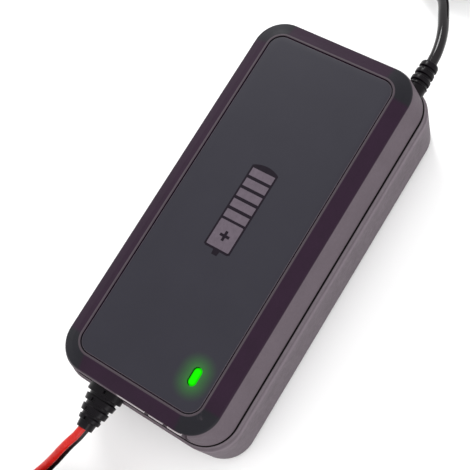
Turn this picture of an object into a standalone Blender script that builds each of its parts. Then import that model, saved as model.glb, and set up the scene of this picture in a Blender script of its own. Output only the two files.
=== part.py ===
"""Car battery charger: a sealed brick housing with its electronics, mains cord, plug and two clip leads.

Dimensions are millimetres, turned into metres where the meshes are made. X runs across the
housing, Y from the battery leads to the mains cord, Z up from the feet.
"""
import math

import bmesh
import bpy
from mathutils import Matrix, Vector

MM = 0.001
GAP = 0.3

# Housing
COVER_HALF = (41.7, 96.2)
COVER_RADIUS = 14.4
SEAM_HALF = (46.7, 97.4)
SEAM_RADIUS = 16.1
BASE_HALF = (47.8, 98.9)
BASE_RADIUS = 16.6
PANEL_HALF = (34.0, 88.6)
PANEL_RADIUS = 7.6
WALL = 2.3
FOOT_HEIGHT = 1.5
TOP_Z = 52.5
EDGE_Z = 49.4
SEAM_Z = 35.6
FLOOR_Z = FOOT_HEIGHT + 2.5
CORNER_STEPS = 7

# Strain reliefs, at the housing's two ends
RELIEF_Z = 35.0
AC_X = 36.0
AC_TIP_Y = 111.3
DC_X = -15.4
DC_TIP_Y = -117.4
HOUSING_Y = -(AC_TIP_Y + DC_TIP_Y) / 2

# Indicator
LED_AT = (23.3, -72.1)
LED_HALF_LENGTH = 4.3
LED_HALF_WIDTH = 2.05
LENS_TOP_Z = 51.8

# Inside the housing
BOARD_Z = 11.0
BOARD_HALF = (33.6, 84.0)
BOARD_THICKNESS = 1.6
BOSS_AT = [(x, y) for x in (-38.4, 38.4) for y in (-80.0, 80.0)]
FOOT_AT = [(x, y) for x in (-31.0, 31.0) for y in (-64.0, 64.0)]

# Cords: diameter, the open stretch's route, and the coil of the rest
AC_DIAMETER = 5.4
DC_DIAMETER = 3.8
AC_COIL = {"centre": (12.0, 207.0), "radius": 30.5, "columns": 2.8, "layers": 4}
DC_COIL = {"centre": (-8.0, -169.0), "radius": 21.5, "columns": 3.0, "layers": 4}
AC_RUN = [(36.0, 112.0, 35.0), (35.8, 116.0, 35.0), (34.7, 121.7, 34.5), (31.7, 130.4, 33.0),
          (27.0, 139.4, 30.0), (21.2, 148.8, 25.5), (10.5, 157.5, 18.5), (-2.5, 166.2, 11.0),
          (-14.6, 174.9, 5.5), (-23.0, 183.4, 3.1), (-28.0, 193.5, 2.7), (-29.7, 205.0, 2.7)]
AC_TAIL = [(-28.9, 216.0, 19.2), (-27.6, 225.0, 18.2), (-26.2, 235.0, 15.0), (-25.0, 245.0, 11.0),
           (-24.4, 254.0, 8.2), (-24.2, 259.8, 7.6)]
RED_RUN = [(-15.6, -118.0, 36.9), (-16.3, -121.6, 36.7), (-18.2, -126.1, 35.6), (-20.7, -130.8, 32.6),
           (-23.6, -136.2, 28.4), (-27.3, -142.4, 23.6), (-31.4, -149.6, 20.2), (-36.0, -158.5, 18.4),
           (-37.7, -168.0, 18.0)]
BLACK_RUN = [(-15.6, -118.0, 32.9), (-16.3, -121.6, 32.7), (-18.2, -126.1, 31.2), (-20.7, -130.8, 27.8),
             (-23.6, -136.2, 23.4), (-27.4, -142.8, 18.0), (-31.6, -150.2, 11.2), (-36.0, -158.5, 4.6),
             (-37.7, -168.0, 2.0)]
BLACK_TAIL = [(-36.0, -178.8, 13.8), (-33.2, -187.0, 12.8), (-31.0, -195.0, 10.2), (-30.2, -203.0, 8.6),
              (-30.0, -209.0, 8.4)]
RED_TAIL = [(-20.6, -196.2, 29.6), (-12.5, -199.8, 28.0), (-3.5, -203.8, 22.5), (3.5, -209.5, 15.5),
            (7.5, -216.5, 10.4), (9.0, -223.5, 8.6), (9.4, -229.5, 8.4)]
TIE_WIDTH = 9.0

# Plug
PLUG_AT = (-24.2, 260.4, 7.6)
PLUG_TURN = -4.0
PLUG_WIDTH = 34.0
PLUG_HEIGHT = 14.0
PIN_SPACING = 18.6
PIN_RADIUS = 2.0

# Battery clips, each lying on its side; u runs to the jaw's tip, v opens the jaw, w is up
CLIP_TAIL = -33.0
CLIP_TIP = 40.0
LOWER_CHEEK = 5.6
UPPER_CHEEK = 4.0
GRIP_WALL = 1.3
CLIP_UP = 8.4
PIN_HALF_LENGTH = 7.7
TOOTH_PITCH = 3.0
SHEET = 1.2
GRIP_ASIDE = 13.0
CLIPS = {"red": RED_TAIL[-1], "black": BLACK_TAIL[-1]}

COLOURS = {
    "cover": ((0.055, 0.038, 0.052), 0.45, 0.0),
    "panel": ((0.07, 0.068, 0.085), 0.4, 0.0),
    "base": ((0.15, 0.13, 0.14), 0.6, 0.0),
    "lens": ((0.1, 0.9, 0.1), 0.2, 0.0),
    "board": ((0.02, 0.16, 0.06), 0.5, 0.0),
    "black_plastic": ((0.02, 0.02, 0.022), 0.5, 0.0),
    "rubber": ((0.02, 0.02, 0.022), 0.8, 0.0),
    "red": ((0.8, 0.03, 0.02), 0.4, 0.0),
    "steel": ((0.6, 0.6, 0.62), 0.3, 1.0),
    "aluminium": ((0.7, 0.7, 0.72), 0.4, 1.0),
    "brass": ((0.78, 0.66, 0.36), 0.3, 1.0),
    "copper": ((0.75, 0.36, 0.16), 0.35, 0.6),
    "ferrite": ((0.05, 0.05, 0.055), 0.6, 0.0),
    "yellow_tape": ((0.75, 0.6, 0.08), 0.5, 0.0),
    "capacitor": ((0.03, 0.05, 0.12), 0.35, 0.0),
    "ceramic": ((0.75, 0.75, 0.7), 0.5, 0.0),
}


# ---------------------------------------------------------------- mesh helpers

def clear_scene():
    for obj in list(bpy.data.objects):
        bpy.data.objects.remove(obj, do_unlink=True)


def material(name):
    """The Principled material of one of COLOURS, made once."""
    if name in bpy.data.materials:
        return bpy.data.materials[name]
    colour, roughness, metallic = COLOURS[name]
    made = bpy.data.materials.new(name)
    made.use_nodes = True
    shader = made.node_tree.nodes["Principled BSDF"]
    shader.inputs["Base Color"].default_value = (*colour, 1.0)
    shader.inputs["Roughness"].default_value = roughness
    shader.inputs["Metallic"].default_value = metallic
    return made


def place(obj, parent, location=(0.0, 0.0, 0.0), rotation=(0.0, 0.0, 0.0)):
    bpy.context.collection.objects.link(obj)
    obj.parent = parent
    obj.location = [value * MM for value in location]
    obj.rotation_euler = rotation
    return obj


def empty(name, parent, location=(0.0, 0.0, 0.0), rotation=(0.0, 0.0, 0.0)):
    return place(bpy.data.objects.new(name, None), parent, location, rotation)


def solid(name, shape, slot, parent, location=(0.0, 0.0, 0.0), rotation=(0.0, 0.0, 0.0), smooth=True):
    """An object from a bmesh in millimetres."""
    bmesh.ops.scale(shape, vec=(MM, MM, MM), verts=shape.verts)
    bmesh.ops.recalc_face_normals(shape, faces=shape.faces)
    mesh = bpy.data.meshes.new(name)
    shape.to_mesh(mesh)
    shape.free()
    mesh.materials.append(material(slot))
    if smooth:
        mesh.shade_smooth()
        mesh.set_sharp_from_angle(angle=math.radians(35))
    return place(bpy.data.objects.new(name, mesh), parent, location, rotation)


def combine(target, shape, operation="DIFFERENCE"):
    """Cut target by a shape, or join the shape to it, in the target's own coordinates."""
    count = len(target.modifiers)
    tool = solid(f"{target.name}_tool{count}", shape, "steel", target.parent, smooth=False)
    tool.location, tool.rotation_euler = target.location, target.rotation_euler
    tool.hide_render = True
    tool.display_type = "WIRE"
    change = target.modifiers.new(f"{operation.title()} {count}", "BOOLEAN")
    change.operation = operation
    change.object = tool


def merged(*shapes):
    """One bmesh holding several."""
    whole = bmesh.new()
    for shape in shapes:
        part = bpy.data.meshes.new("part")
        shape.to_mesh(part)
        shape.free()
        whole.from_mesh(part)
        bpy.data.meshes.remove(part)
    return whole


def moved(shape, x=0.0, y=0.0, z=0.0):
    bmesh.ops.translate(shape, vec=(x, y, z), verts=shape.verts)
    return shape


def loft(loops):
    """A closed body through rings of equal length, capped at both ends."""
    shape = bmesh.new()
    rings = [[shape.verts.new(point) for point in loop] for loop in loops]
    for lower, upper in zip(rings, rings[1:]):
        for i in range(len(lower)):
            j = (i + 1) % len(lower)
            shape.faces.new((lower[i], lower[j], upper[j], upper[i]))
    shape.faces.new(rings[0][::-1])
    shape.faces.new(rings[-1])
    return shape


def rounded_rect(half_x, half_y, radius, z=0.0, steps=CORNER_STEPS):
    points = []
    for quarter, (sx, sy) in enumerate(((1, 1), (-1, 1), (-1, -1), (1, -1))):
        for step in range(steps + 1):
            angle = (quarter + step / steps) * math.pi / 2
            points.append((sx * (half_x - radius) + radius * math.cos(angle),
                           sy * (half_y - radius) + radius * math.sin(angle), z))
    return points


def oval(half_x, half_z, y, steps=20):
    """An ellipse across Y, for a body that runs along Y."""
    turns = (2 * math.pi * step / steps for step in range(steps))
    return [(half_x * math.cos(turn), y, -half_z * math.sin(turn)) for turn in turns]


def slab(half_x, half_y, radius, low, high, steps=4):
    return loft([rounded_rect(half_x, half_y, radius, z, steps) for z in (low, high)])


def box(size, centre=(0.0, 0.0, 0.0)):
    shape = bmesh.new()
    bmesh.ops.create_cube(shape, size=1.0)
    bmesh.ops.scale(shape, vec=size, verts=shape.verts)
    return moved(shape, *centre)


def turned(profile, steps=24):
    """A body turned about Z from (radius, height) pairs, listed from its lower end to its upper end."""
    rings = [[(radius * math.cos(2 * math.pi * step / steps), radius * math.sin(2 * math.pi * step / steps),
               height) for step in range(steps)] for radius, height in profile]
    return loft(rings)


def rod(radius, low, high, steps=24):
    return turned([(radius, low), (radius, high)], steps)


def prism(outline, low, high):
    """A closed body from an outline in X and Y, extruded along Z."""
    return loft([[(x, y, z) for x, y in outline] for z in (low, high)])


def along_y(shape):
    """Lay a shape that stands on Z down along +Y."""
    bmesh.ops.rotate(shape, verts=shape.verts, matrix=Matrix.Rotation(-math.pi / 2, 3, "X"))
    return shape


def arc(centre, radius, first, last, steps):
    """Points on an arc, with its angles in degrees."""
    angles = (math.radians(first + (last - first) * step / steps) for step in range(steps + 1))
    return [(centre[0] + radius * math.cos(angle), centre[1] + radius * math.sin(angle)) for angle in angles]


# ---------------------------------------------------------------- housing

def shrink(half, radius, by, z):
    return rounded_rect(half[0] - by, half[1] - by, max(radius - by, 1.0), z)


def vent_slots(side):
    """Upright slots through the cover's end wall: side is -1 at the leads' end, 1 at the cord's end."""
    if side < 0:
        places = [11.6, 21.7, 31.8]
        height = SEAM_Z + 8.9
    else:
        places = [-26.9 + 5.1 * slot for slot in range(9)]
        height = SEAM_Z + 6.9
    slots = [box((2.4, 9.0, 8.6), (x, side * COVER_HALF[1], height)) for x in places]
    return merged(*slots)


def relief_bores():
    """Holes for the two strain reliefs, through whichever end wall they meet."""
    mains = along_y(rod(5.2, 80.0, 112.0))
    battery = loft([oval(9.5, 7.3, y, 28) for y in (-80.0, -112.0)])
    return merged(moved(mains, AC_X, 0.0, RELIEF_Z), moved(battery, DC_X, 0.0, RELIEF_Z))


def led_hole(low, high):
    hole = slab(LED_HALF_WIDTH + GAP, LED_HALF_LENGTH + GAP, LED_HALF_WIDTH + GAP - 0.01, low, high, 6)
    return moved(hole, *LED_AT)


def make_top_cover(housing):
    ridge_inner = PANEL_HALF[0] - 0.5
    ceiling = TOP_Z - 3.3
    loops = [
        shrink(PANEL_HALF, PANEL_RADIUS, 1.5, ceiling),
        shrink(COVER_HALF, COVER_RADIUS, WALL, EDGE_Z - 2.6),
        shrink(SEAM_HALF, SEAM_RADIUS, WALL, SEAM_Z + 0.15),
        shrink(SEAM_HALF, SEAM_RADIUS, 0.0, SEAM_Z + 0.15),
        rounded_rect(COVER_HALF[0] + 0.35, COVER_HALF[1] + 0.12, COVER_RADIUS + 0.2, EDGE_Z - 0.6),
        shrink(COVER_HALF, COVER_RADIUS, 0.05, EDGE_Z - 0.1),
        shrink(COVER_HALF, COVER_RADIUS, 0.5, EDGE_Z + 0.3),
        shrink(COVER_HALF, COVER_RADIUS, 4.2, EDGE_Z + 1.85),
        shrink(PANEL_HALF, PANEL_RADIUS, -0.5, TOP_Z - 0.12),
        shrink(PANEL_HALF, PANEL_RADIUS, -0.2, TOP_Z),
        shrink(PANEL_HALF, PANEL_RADIUS, 0.4, TOP_Z),
        rounded_rect(ridge_inner, PANEL_HALF[1] - 0.5, PANEL_RADIUS - 0.5, TOP_Z - 1.1),
    ]
    cover = solid("top_cover", loft(loops), "cover", housing)
    posts = merged(*(moved(rod(3.0, 24.0, 48.5, 16), x, y) for x, y in BOSS_AT))
    combine(cover, posts, "UNION")
    holes = merged(*(moved(rod(1.75, 20.0, 36.0, 12), x, y) for x, y in BOSS_AT))
    combine(cover, holes)
    combine(cover, led_hole(44.0, 60.0))
    combine(cover, relief_bores())
    combine(cover, merged(vent_slots(-1), vent_slots(1)))


def make_base_shell(housing):
    bottom = FOOT_HEIGHT
    lip_half = [side - WALL - GAP for side in SEAM_HALF]
    loops = [
        shrink(BASE_HALF, BASE_RADIUS, 4.6, bottom),
        shrink(BASE_HALF, BASE_RADIUS, 2.0, bottom + 1.1),
        shrink(BASE_HALF, BASE_RADIUS, 0.8, bottom + 3.6),
        shrink(BASE_HALF, BASE_RADIUS, 0.0, SEAM_Z - 5.2),
        shrink(BASE_HALF, BASE_RADIUS, 0.15, SEAM_Z - 4.2),
        shrink(BASE_HALF, BASE_RADIUS, 0.55, SEAM_Z - 3.6),
        shrink(SEAM_HALF, SEAM_RADIUS, -0.35, SEAM_Z - 2.9),
        shrink(SEAM_HALF, SEAM_RADIUS, 0.0, SEAM_Z - 0.9),
        shrink(SEAM_HALF, SEAM_RADIUS, 0.7, SEAM_Z - 0.75),
        shrink(SEAM_HALF, SEAM_RADIUS, 0.7, SEAM_Z - 0.15),
        rounded_rect(lip_half[0], lip_half[1], SEAM_RADIUS - WALL - GAP, SEAM_Z - 0.15),
        rounded_rect(lip_half[0] - 1.1, lip_half[1] - 0.3, SEAM_RADIUS - WALL - 1.0, SEAM_Z + 2.2),
        rounded_rect(lip_half[0] - 2.2, lip_half[1] - 1.4, SEAM_RADIUS - WALL - 2.1, SEAM_Z + 2.2),
        shrink(BASE_HALF, BASE_RADIUS, WALL + 2.6, SEAM_Z - 2.5),
        shrink(BASE_HALF, BASE_RADIUS, WALL + 1.5, SEAM_Z - 6.0),
        shrink(BASE_HALF, BASE_RADIUS, WALL + 2.6, FLOOR_Z),
    ]
    base = solid("base_shell", loft(loops), "base", housing)
    columns = [moved(rod(3.8, bottom + 1.2, 23.6, 16), x, y) for x, y in BOSS_AT]
    standoffs = [moved(rod(3.0, bottom + 1.2, BOARD_Z - GAP, 12), x, y * 0.72) for x, y in FOOT_AT]
    combine(base, merged(*columns, *standoffs), "UNION")
    screw_hole = [(3.6, -1.0), (3.6, bottom + 2.4), (1.9, bottom + 2.5), (1.9, 30.0)]
    combine(base, merged(*(moved(turned(screw_hole, 16), x, y) for x, y in BOSS_AT)))
    combine(base, relief_bores())
    pockets = merged(*(moved(rod(5.5, -1.0, bottom + 0.6, 20), x, y) for x, y in FOOT_AT))
    combine(base, pockets)


def make_panel(housing):
    half = (PANEL_HALF[0] - 1.5, PANEL_HALF[1] - 1.5)
    radius = PANEL_RADIUS - 1.3
    loops = [
        shrink(half, radius, 0.0, TOP_Z - 0.8),
        shrink(half, radius, 0.0, TOP_Z - 0.5),
        shrink(half, radius, 0.35, TOP_Z - 0.22),
    ]
    plate = solid("panel_plate", loft(loops), "panel", housing)
    combine(plate, led_hole(44.0, 60.0))


def make_indicator(housing):
    lens = slab(LED_HALF_WIDTH, LED_HALF_LENGTH, LED_HALF_WIDTH - 0.01, 46.4, LENS_TOP_Z, 6)
    body = solid("led_lens", lens, "lens", housing, (*LED_AT, 0.0))
    flange = slab(LED_HALF_WIDTH + 1.2, LED_HALF_LENGTH + 1.2, LED_HALF_WIDTH + 1.1, 47.4, 48.8, 6)
    combine(body, flange, "UNION")
    dome = [(1.9, 42.3), (1.9, 43.0), (1.5, 43.05)] + [
        (1.5 * math.cos(math.radians(angle)), 44.4 + 1.5 * math.sin(math.radians(angle)))
        for angle in (0, 30, 55, 80)]
    solid("led_diode", turned(dome, 16), "lens", housing, (*LED_AT, 0.0))
    board = slab(8.0, 11.0, 1.0, 40.8, 42.0)
    solid("indicator_board", board, "board", housing, (*LED_AT, 0.0), smooth=False)


def make_feet_and_screws(housing):
    foot = [(4.4, 0.0), (5.0, 0.5), (5.2, FOOT_HEIGHT + 0.3)]
    screw = [(3.2, FOOT_HEIGHT + 0.7), (3.3, FOOT_HEIGHT + 2.1), (1.5, FOOT_HEIGHT + 2.2), (1.5, 34.0)]
    for number, (x, y) in enumerate(FOOT_AT, 1):
        solid(f"rubber_foot_{number}", turned(foot, 20), "rubber", housing, (x, y, 0.0))
    for number, (x, y) in enumerate(BOSS_AT, 1):
        body = solid(f"case_screw_{number}", turned(screw, 16), "steel", housing, (x, y, 0.0))
        combine(body, box((4.0, 0.8, 1.6), (0.0, 0.0, FOOT_HEIGHT + 0.7)))


# ---------------------------------------------------------------- electronics

def make_board(housing):
    board = slab(*BOARD_HALF, 2.0, BOARD_Z, BOARD_Z + BOARD_THICKNESS)
    solid("circuit_board", board, "board", housing, smooth=False)


def finned_plate(length, height, thickness, fins):
    """A heatsink standing along Y: an upright plate with fins on its +X side."""
    outline = [(0.0, 0.0), (0.0, length)]
    pitch = length / fins
    for fin in range(fins, 0, -1):
        top = fin * pitch
        outline += [(thickness + 6.0, top), (thickness + 6.0, top - 1.6)]
        outline += [(thickness, top - 1.6), (thickness, top - pitch)]
    return moved(prism(outline[:-1] + [(thickness, 0.0)], 0.0, height), 0.0, -length / 2)


def make_electronics(housing):
    top = BOARD_Z + BOARD_THICKNESS + GAP
    core = box((30.0, 34.0, 26.0), (0.0, 0.0, 13.0))
    core_body = solid("transformer_core", core, "ferrite", housing, (0.0, 2.0, top), smooth=False)
    combine(core_body, box((22.4, 60.0, 16.4), (0.0, 0.0, 13.0)))
    solid("transformer_winding", slab(10.7, 20.0, 3.0, 5.2, 20.8), "yellow_tape", housing, (0.0, 2.0, top))
    for name, x, y, radius, height in (("bulk_capacitor", 18.0, 44.0, 11.0, 25.0),
                                       ("output_capacitor_1", -14.0, -52.0, 6.2, 20.0),
                                       ("output_capacitor_2", -14.0, -66.0, 6.2, 20.0),
                                       ("input_fuse", 26.0, 72.0, 3.0, 9.0)):
        profile = [(radius - 0.4, 0.0), (radius, 0.4), (radius, height - 0.4), (radius - 0.4, height)]
        slot = "ceramic" if name == "input_fuse" else "capacitor"
        solid(name, turned(profile, 20), slot, housing, (x, y, top))
    solid("input_choke", ring_shape(5.0, 11.0, 11.0, 24), "copper", housing, (-16.0, 62.0, top))
    solid("filter_capacitor", slab(4.5, 9.0, 0.8, 0.0, 14.0), "yellow_tape", housing, (2.5, 70.0, top))
    solid("bridge_rectifier", slab(2.2, 8.0, 0.6, 0.0, 17.0), "black_plastic", housing, (-2.0, 44.0, top))
    for name, x, y, turn in (("primary_heatsink", -30.4, 16.0, 0.0), ("output_heatsink", 30.4, -34.0, math.pi)):
        solid(name, finned_plate(52.0, 24.0, 2.4, 6), "aluminium", housing, (x, y, top), (0, 0, turn), False)
    for name, x, y in (("switching_transistor", -19.0, 16.0), ("output_rectifier", 19.0, -34.0)):
        solid(name, slab(2.2, 5.2, 0.4, 1.0, 17.0), "black_plastic", housing, (x, y, top), smooth=False)


# ---------------------------------------------------------------- strain reliefs

def make_ac_relief(housing):
    """A grooved boot on the mains cord, tapered to its tip, with a flange behind the wall."""
    profile = [(5.4, 84.0), (5.4, 85.6), (4.7, 85.7), (4.7, 97.9), (5.0, 98.0)]
    for groove in range(3):
        start = 98.6 + 3.9 * groove
        radius = 5.0 - 0.16 * groove
        profile += [(radius, start - 0.1), (radius - 1.1, start), (radius - 1.1, start + 1.5),
                    (radius - 0.1, start + 1.6)]
    profile += [(4.4, 110.2), (4.0, AC_TIP_Y - 0.3), (3.5, AC_TIP_Y)]
    solid("ac_strain_relief", along_y(turned(profile, 22)), "rubber", housing, (AC_X, 0.0, RELIEF_Z))


def make_dc_relief(housing):
    """A stepped oval boot round the two battery leads, wide at the housing and narrow at its tip."""
    steps = [(11.4, 9.0, -90.4), (11.4, 9.0, -92.6), (9.1, 6.9, -92.7), (9.1, 6.9, -100.6), (8.8, 6.7, -100.9),
             (6.9, 5.9, -101.0), (6.9, 5.9, -102.3), (8.1, 6.4, -102.4), (7.6, 6.2, -105.3),
             (6.0, 5.5, -105.4), (6.0, 5.5, -107.0), (7.0, 6.0, -107.1), (6.4, 5.8, -110.2),
             (4.9, 5.1, -110.3), (4.9, 5.1, -111.6), (5.6, 5.5, -111.7), (5.2, 5.3, -113.8),
             (4.2, 4.9, -113.9), (3.8, 4.6, DC_TIP_Y)]
    boot = loft([oval(half_x, half_z, y, 22) for half_x, half_z, y in steps])
    solid("dc_strain_relief", boot, "rubber", housing, (DC_X, 0.0, RELIEF_Z))


# ---------------------------------------------------------------- cords

def smooth_route(points, spacing):
    """Evenly spaced points on a centripetal Catmull-Rom curve through a route's own points."""
    ends = [2 * Vector(points[0]) - Vector(points[1]), 2 * Vector(points[-1]) - Vector(points[-2])]
    knots = [ends[0], *map(Vector, points), ends[1]]
    fine = []
    for before, start, end, after in zip(knots, knots[1:], knots[2:], knots[3:]):
        into = (end - before) / 2
        out = (after - start) / 2
        for step in range(12):
            t = step / 12
            fine.append(start * (2 * t**3 - 3 * t**2 + 1) + into * (t**3 - 2 * t**2 + t)
                        + end * (3 * t**2 - 2 * t**3) + out * (t**3 - t**2))
    fine.append(knots[-2])
    length = sum((b - a).length for a, b in zip(fine, fine[1:]))
    count = max(4, round(length / spacing))
    route, walked, target = [fine[0]], 0.0, length / count
    for a, b in zip(fine, fine[1:]):
        step = (b - a).length
        while walked + step >= target * len(route) and len(route) < count:
            route.append(a.lerp(b, (target * len(route) - walked) / step))
        walked += step
    return [*route, fine[-1]]


def tube(name, points, diameter, slot, parent, resolution):
    """A round cord along a route, as a curve with filled ends."""
    curve = bpy.data.curves.new(name, "CURVE")
    curve.dimensions = "3D"
    curve.bevel_depth = diameter / 2 * MM
    curve.bevel_resolution = resolution
    curve.use_fill_caps = True
    route = smooth_route(points, 2.4 * diameter)
    spline = curve.splines.new("POLY")
    spline.points.add(len(route) - 1)
    for point, place_at in zip(spline.points, route):
        point.co = (*(place_at * MM), 1.0)
    curve.materials.append(material(slot))
    return place(bpy.data.objects.new(name, curve), parent)


def ring_shape(inner, outer, height, steps=32, soft=1.2):
    """A turned ring on z = 0 with softened edges."""
    section = [(inner, soft), (inner + soft, 0.0), (outer - soft, 0.0), (outer, soft),
               (outer, height - soft), (outer - soft, height), (inner + soft, height), (inner, height - soft)]
    shape = bmesh.new()
    rings = []
    for step in range(steps):
        turn = 2 * math.pi * step / steps
        rings.append([shape.verts.new((r * math.cos(turn), r * math.sin(turn), z)) for r, z in section])
    for first, second in zip(rings, rings[1:] + rings[:1]):
        for i in range(len(section)):
            j = (i + 1) % len(section)
            shape.faces.new((first[i], first[j], second[j], second[i]))
    return shape


def coil_size(coil, diameter):
    """Inner radius, outer radius and height of a coil's outer shape."""
    half = coil["columns"] * diameter / 2 + 0.2
    return coil["radius"] - half, coil["radius"] + half, (coil["layers"] + 0.1) * diameter


def coil_ring(name, coil, diameter, low, slot, parent):
    """A coil of cord as one turned ring of its outer shape."""
    inner, outer, height = coil_size(coil, diameter)
    return solid(name, ring_shape(inner, outer, height), slot, parent, (*coil["centre"], low))


def make_tie(name, coil, diameter, height, angle, parent):
    """A hook-and-loop strap standing clear round a coil's section, its ends meeting on top."""
    inner, outer, _ = coil_size(coil, diameter)
    half = TIE_WIDTH / 2
    inside = (math.sqrt(inner**2 - half**2) - 0.5, outer + 0.4)
    loops = []
    for out in (0.0, 1.0):
        low_x, high_x = inside[0] - out, inside[1] + out
        low_z, high_z = 0.35 - 0.35 * out, height + 0.4 + out
        loops.append([(low_x, low_z), (high_x, low_z), (high_x, high_z), (low_x, high_z)])
    strap = bmesh.new()
    rings = []
    for side in (-half, half):
        rings.append([[strap.verts.new((x, side, z)) for x, z in loop] for loop in loops])
    (left_in, left_out), (right_in, right_out) = rings
    for i in range(4):
        j = (i + 1) % 4
        strap.faces.new((left_in[i], left_in[j], right_in[j], right_in[i]))
        strap.faces.new((left_out[j], left_out[i], right_out[i], right_out[j]))
        strap.faces.new((left_in[j], left_in[i], left_out[i], left_out[j]))
        strap.faces.new((right_in[i], right_in[j], right_out[j], right_out[i]))
    return solid(name, strap, "black_plastic", parent, (*coil["centre"], 0.0), (0, 0, angle), smooth=False)


def make_cords(housing):
    tube("ac_cord_run", AC_RUN, AC_DIAMETER, "rubber", housing, 4)
    tube("ac_cord_tail", AC_TAIL, AC_DIAMETER, "rubber", housing, 4)
    lift = 0.4
    coil_ring("ac_cord_coil", AC_COIL, AC_DIAMETER, lift, "rubber", housing)
    ac_top = coil_size(AC_COIL, AC_DIAMETER)[2] + lift
    make_tie("ac_coil_tie", AC_COIL, AC_DIAMETER, ac_top, math.radians(20), housing)
    tube("red_lead_run", RED_RUN, DC_DIAMETER, "red", housing, 2)
    tube("red_lead_tail", RED_TAIL, DC_DIAMETER, "red", housing, 2)
    tube("black_lead_run", BLACK_RUN, DC_DIAMETER, "rubber", housing, 2)
    tube("black_lead_tail", BLACK_TAIL, DC_DIAMETER, "rubber", housing, 2)
    height = coil_size(DC_COIL, DC_DIAMETER)[2]
    coil_ring("black_lead_coil", DC_COIL, DC_DIAMETER, lift, "rubber", housing)
    coil_ring("red_lead_coil", DC_COIL, DC_DIAMETER, lift + height + 0.3, "red", housing)
    make_tie("dc_coil_tie", DC_COIL, DC_DIAMETER, 2 * height + 0.3 + lift, math.radians(10), housing)


def make_plug(housing):
    """A two-pin mains plug: a flat body that narrows to the cord, and two round pins."""
    mount = empty("plug", housing, PLUG_AT, (0, 0, math.radians(PLUG_TURN)))
    sections = [(3.6, 3.6, 0.0), (4.2, 4.2, 6.0), (7.0, 5.6, 12.0), (12.6, 6.4, 17.0),
                (PLUG_WIDTH / 2, PLUG_HEIGHT / 2, 24.0), (PLUG_WIDTH / 2, PLUG_HEIGHT / 2, 36.0),
                (PLUG_WIDTH / 2 - 1.0, PLUG_HEIGHT / 2 - 1.0, 37.0)]
    loops = []
    for half_x, half_z, y in sections:
        loop = rounded_rect(half_x, half_z, min(half_x, half_z) * 0.96, 0.0, 5)
        loops.append([(x, y, -z) for x, z, _ in loop])
    body = solid("plug_body", loft(loops), "rubber", mount)
    holes = []
    for side in (-1, 1):
        hole = along_y(rod(PIN_RADIUS + GAP, 34.0, 40.0, 16))
        holes.append(moved(hole, side * PIN_SPACING / 2))
    combine(body, merged(*holes))
    for name, side in (("plug_pin_1", -1), ("plug_pin_2", 1)):
        profile = [(PIN_RADIUS, 34.4), (PIN_RADIUS, 54.4), (PIN_RADIUS - 0.8, 56.0)]
        solid(name, along_y(turned(profile, 16)), "brass", mount, (side * PIN_SPACING / 2, 0.0, 0.0))


# ---------------------------------------------------------------- battery clips

def jaw_teeth():
    """The toothed mating edge, from the tip back to the throat, just below v = 0."""
    points = [(CLIP_TIP, -3.4), (CLIP_TIP, -0.2)]
    count = 6
    for tooth in range(count):
        u = CLIP_TIP - 1.0 - TOOTH_PITCH * tooth
        points += [(u - TOOTH_PITCH / 2, -1.5), (u - TOOTH_PITCH, -0.2)]
    return points


def cheek_outline():
    """The side of the lower jaw: teeth, an open throat, the ear round the pivot and the back edge."""
    throat = arc((14.0, -0.4), 6.0, 0, -180, 6)[1:-1]
    ear = arc((0.0, 0.0), 4.6, 20, 160, 8)
    back = [(-9.0, -4.0), (-9.0, -9.4), (2.0, -9.6), (14.0, -10.0), (28.0, -8.0)]
    return jaw_teeth() + throat + ear + back


def web_outline():
    """The strip that joins the cheeks along the back and runs on as the handle's tongue."""
    outer = [(CLIP_TIP, -3.4), (28.0, -8.0), (14.0, -10.0), (2.0, -9.6), (-9.0, -9.4), (CLIP_TAIL + 5, -14.0)]
    inner = [(CLIP_TAIL + 5, -12.7), (-9.0, -8.1), (2.0, -8.3), (14.0, -8.7), (27.6, -6.8), (CLIP_TIP, -2.1)]
    return outer + inner


def flipped(outline):
    return [(u, -v) for u, v in reversed(outline)]


def make_jaw(name, mirror, cheek_inner, parent):
    """A stamped jaw: two cheeks joined by a web, with a hole for the pivot pin."""
    shape_of = flipped if mirror else list
    cheeks = shape_of(cheek_outline())
    half = cheek_inner + SHEET
    jaw = solid(name, prism(shape_of(web_outline()), -half, half), "steel", parent, smooth=False)
    for low in (-half, cheek_inner):
        combine(jaw, prism(cheeks, low, low + SHEET), "UNION")
    combine(jaw, rod(1.5 + GAP, -12.0, 12.0, 14))


def grip_outline():
    """A moulded handle round the jaw's tongue, thicker than it and rounded at its end."""
    end = arc((CLIP_TAIL + 3.0, -GRIP_ASIDE), 3.0, 100, 260, 6)
    return [(-11.5, -11.6), (-11.5, -6.4)] + end + [(-22.0, -14.2)]


def make_grip(name, mirror, cheek_inner, slot, parent):
    shape_of = flipped if mirror else list
    inside = cheek_inner + SHEET + GAP
    half = inside + GRIP_WALL
    grip = solid(name, prism(shape_of(grip_outline()), -half, half), slot, parent)
    tongue = [(CLIP_TAIL + 4.2, -14.7), (CLIP_TAIL + 4.2, -12.2), (-8.0, -7.5), (-8.0, -9.9)]
    combine(grip, prism(shape_of(tongue), -inside, inside))


def make_spring(name, parent):
    """A torsion spring wound round the pivot pin."""
    wire, radius, turns, pitch = 0.9, 2.9, 2.5, 1.6
    curve = bpy.data.curves.new(name, "CURVE")
    curve.dimensions = "3D"
    curve.bevel_depth = wire / 2 * MM
    curve.bevel_resolution = 1
    curve.use_fill_caps = True
    count = 25
    spline = curve.splines.new("POLY")
    spline.points.add(count)
    for step, point in enumerate(spline.points):
        turn = 2 * math.pi * turns * step / count
        height = (step / count - 0.5) * turns * pitch
        point.co = (radius * math.cos(turn) * MM, radius * math.sin(turn) * MM, height * MM, 1.0)
    curve.materials.append(material("steel"))
    return place(bpy.data.objects.new(name, curve), parent)


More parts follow.
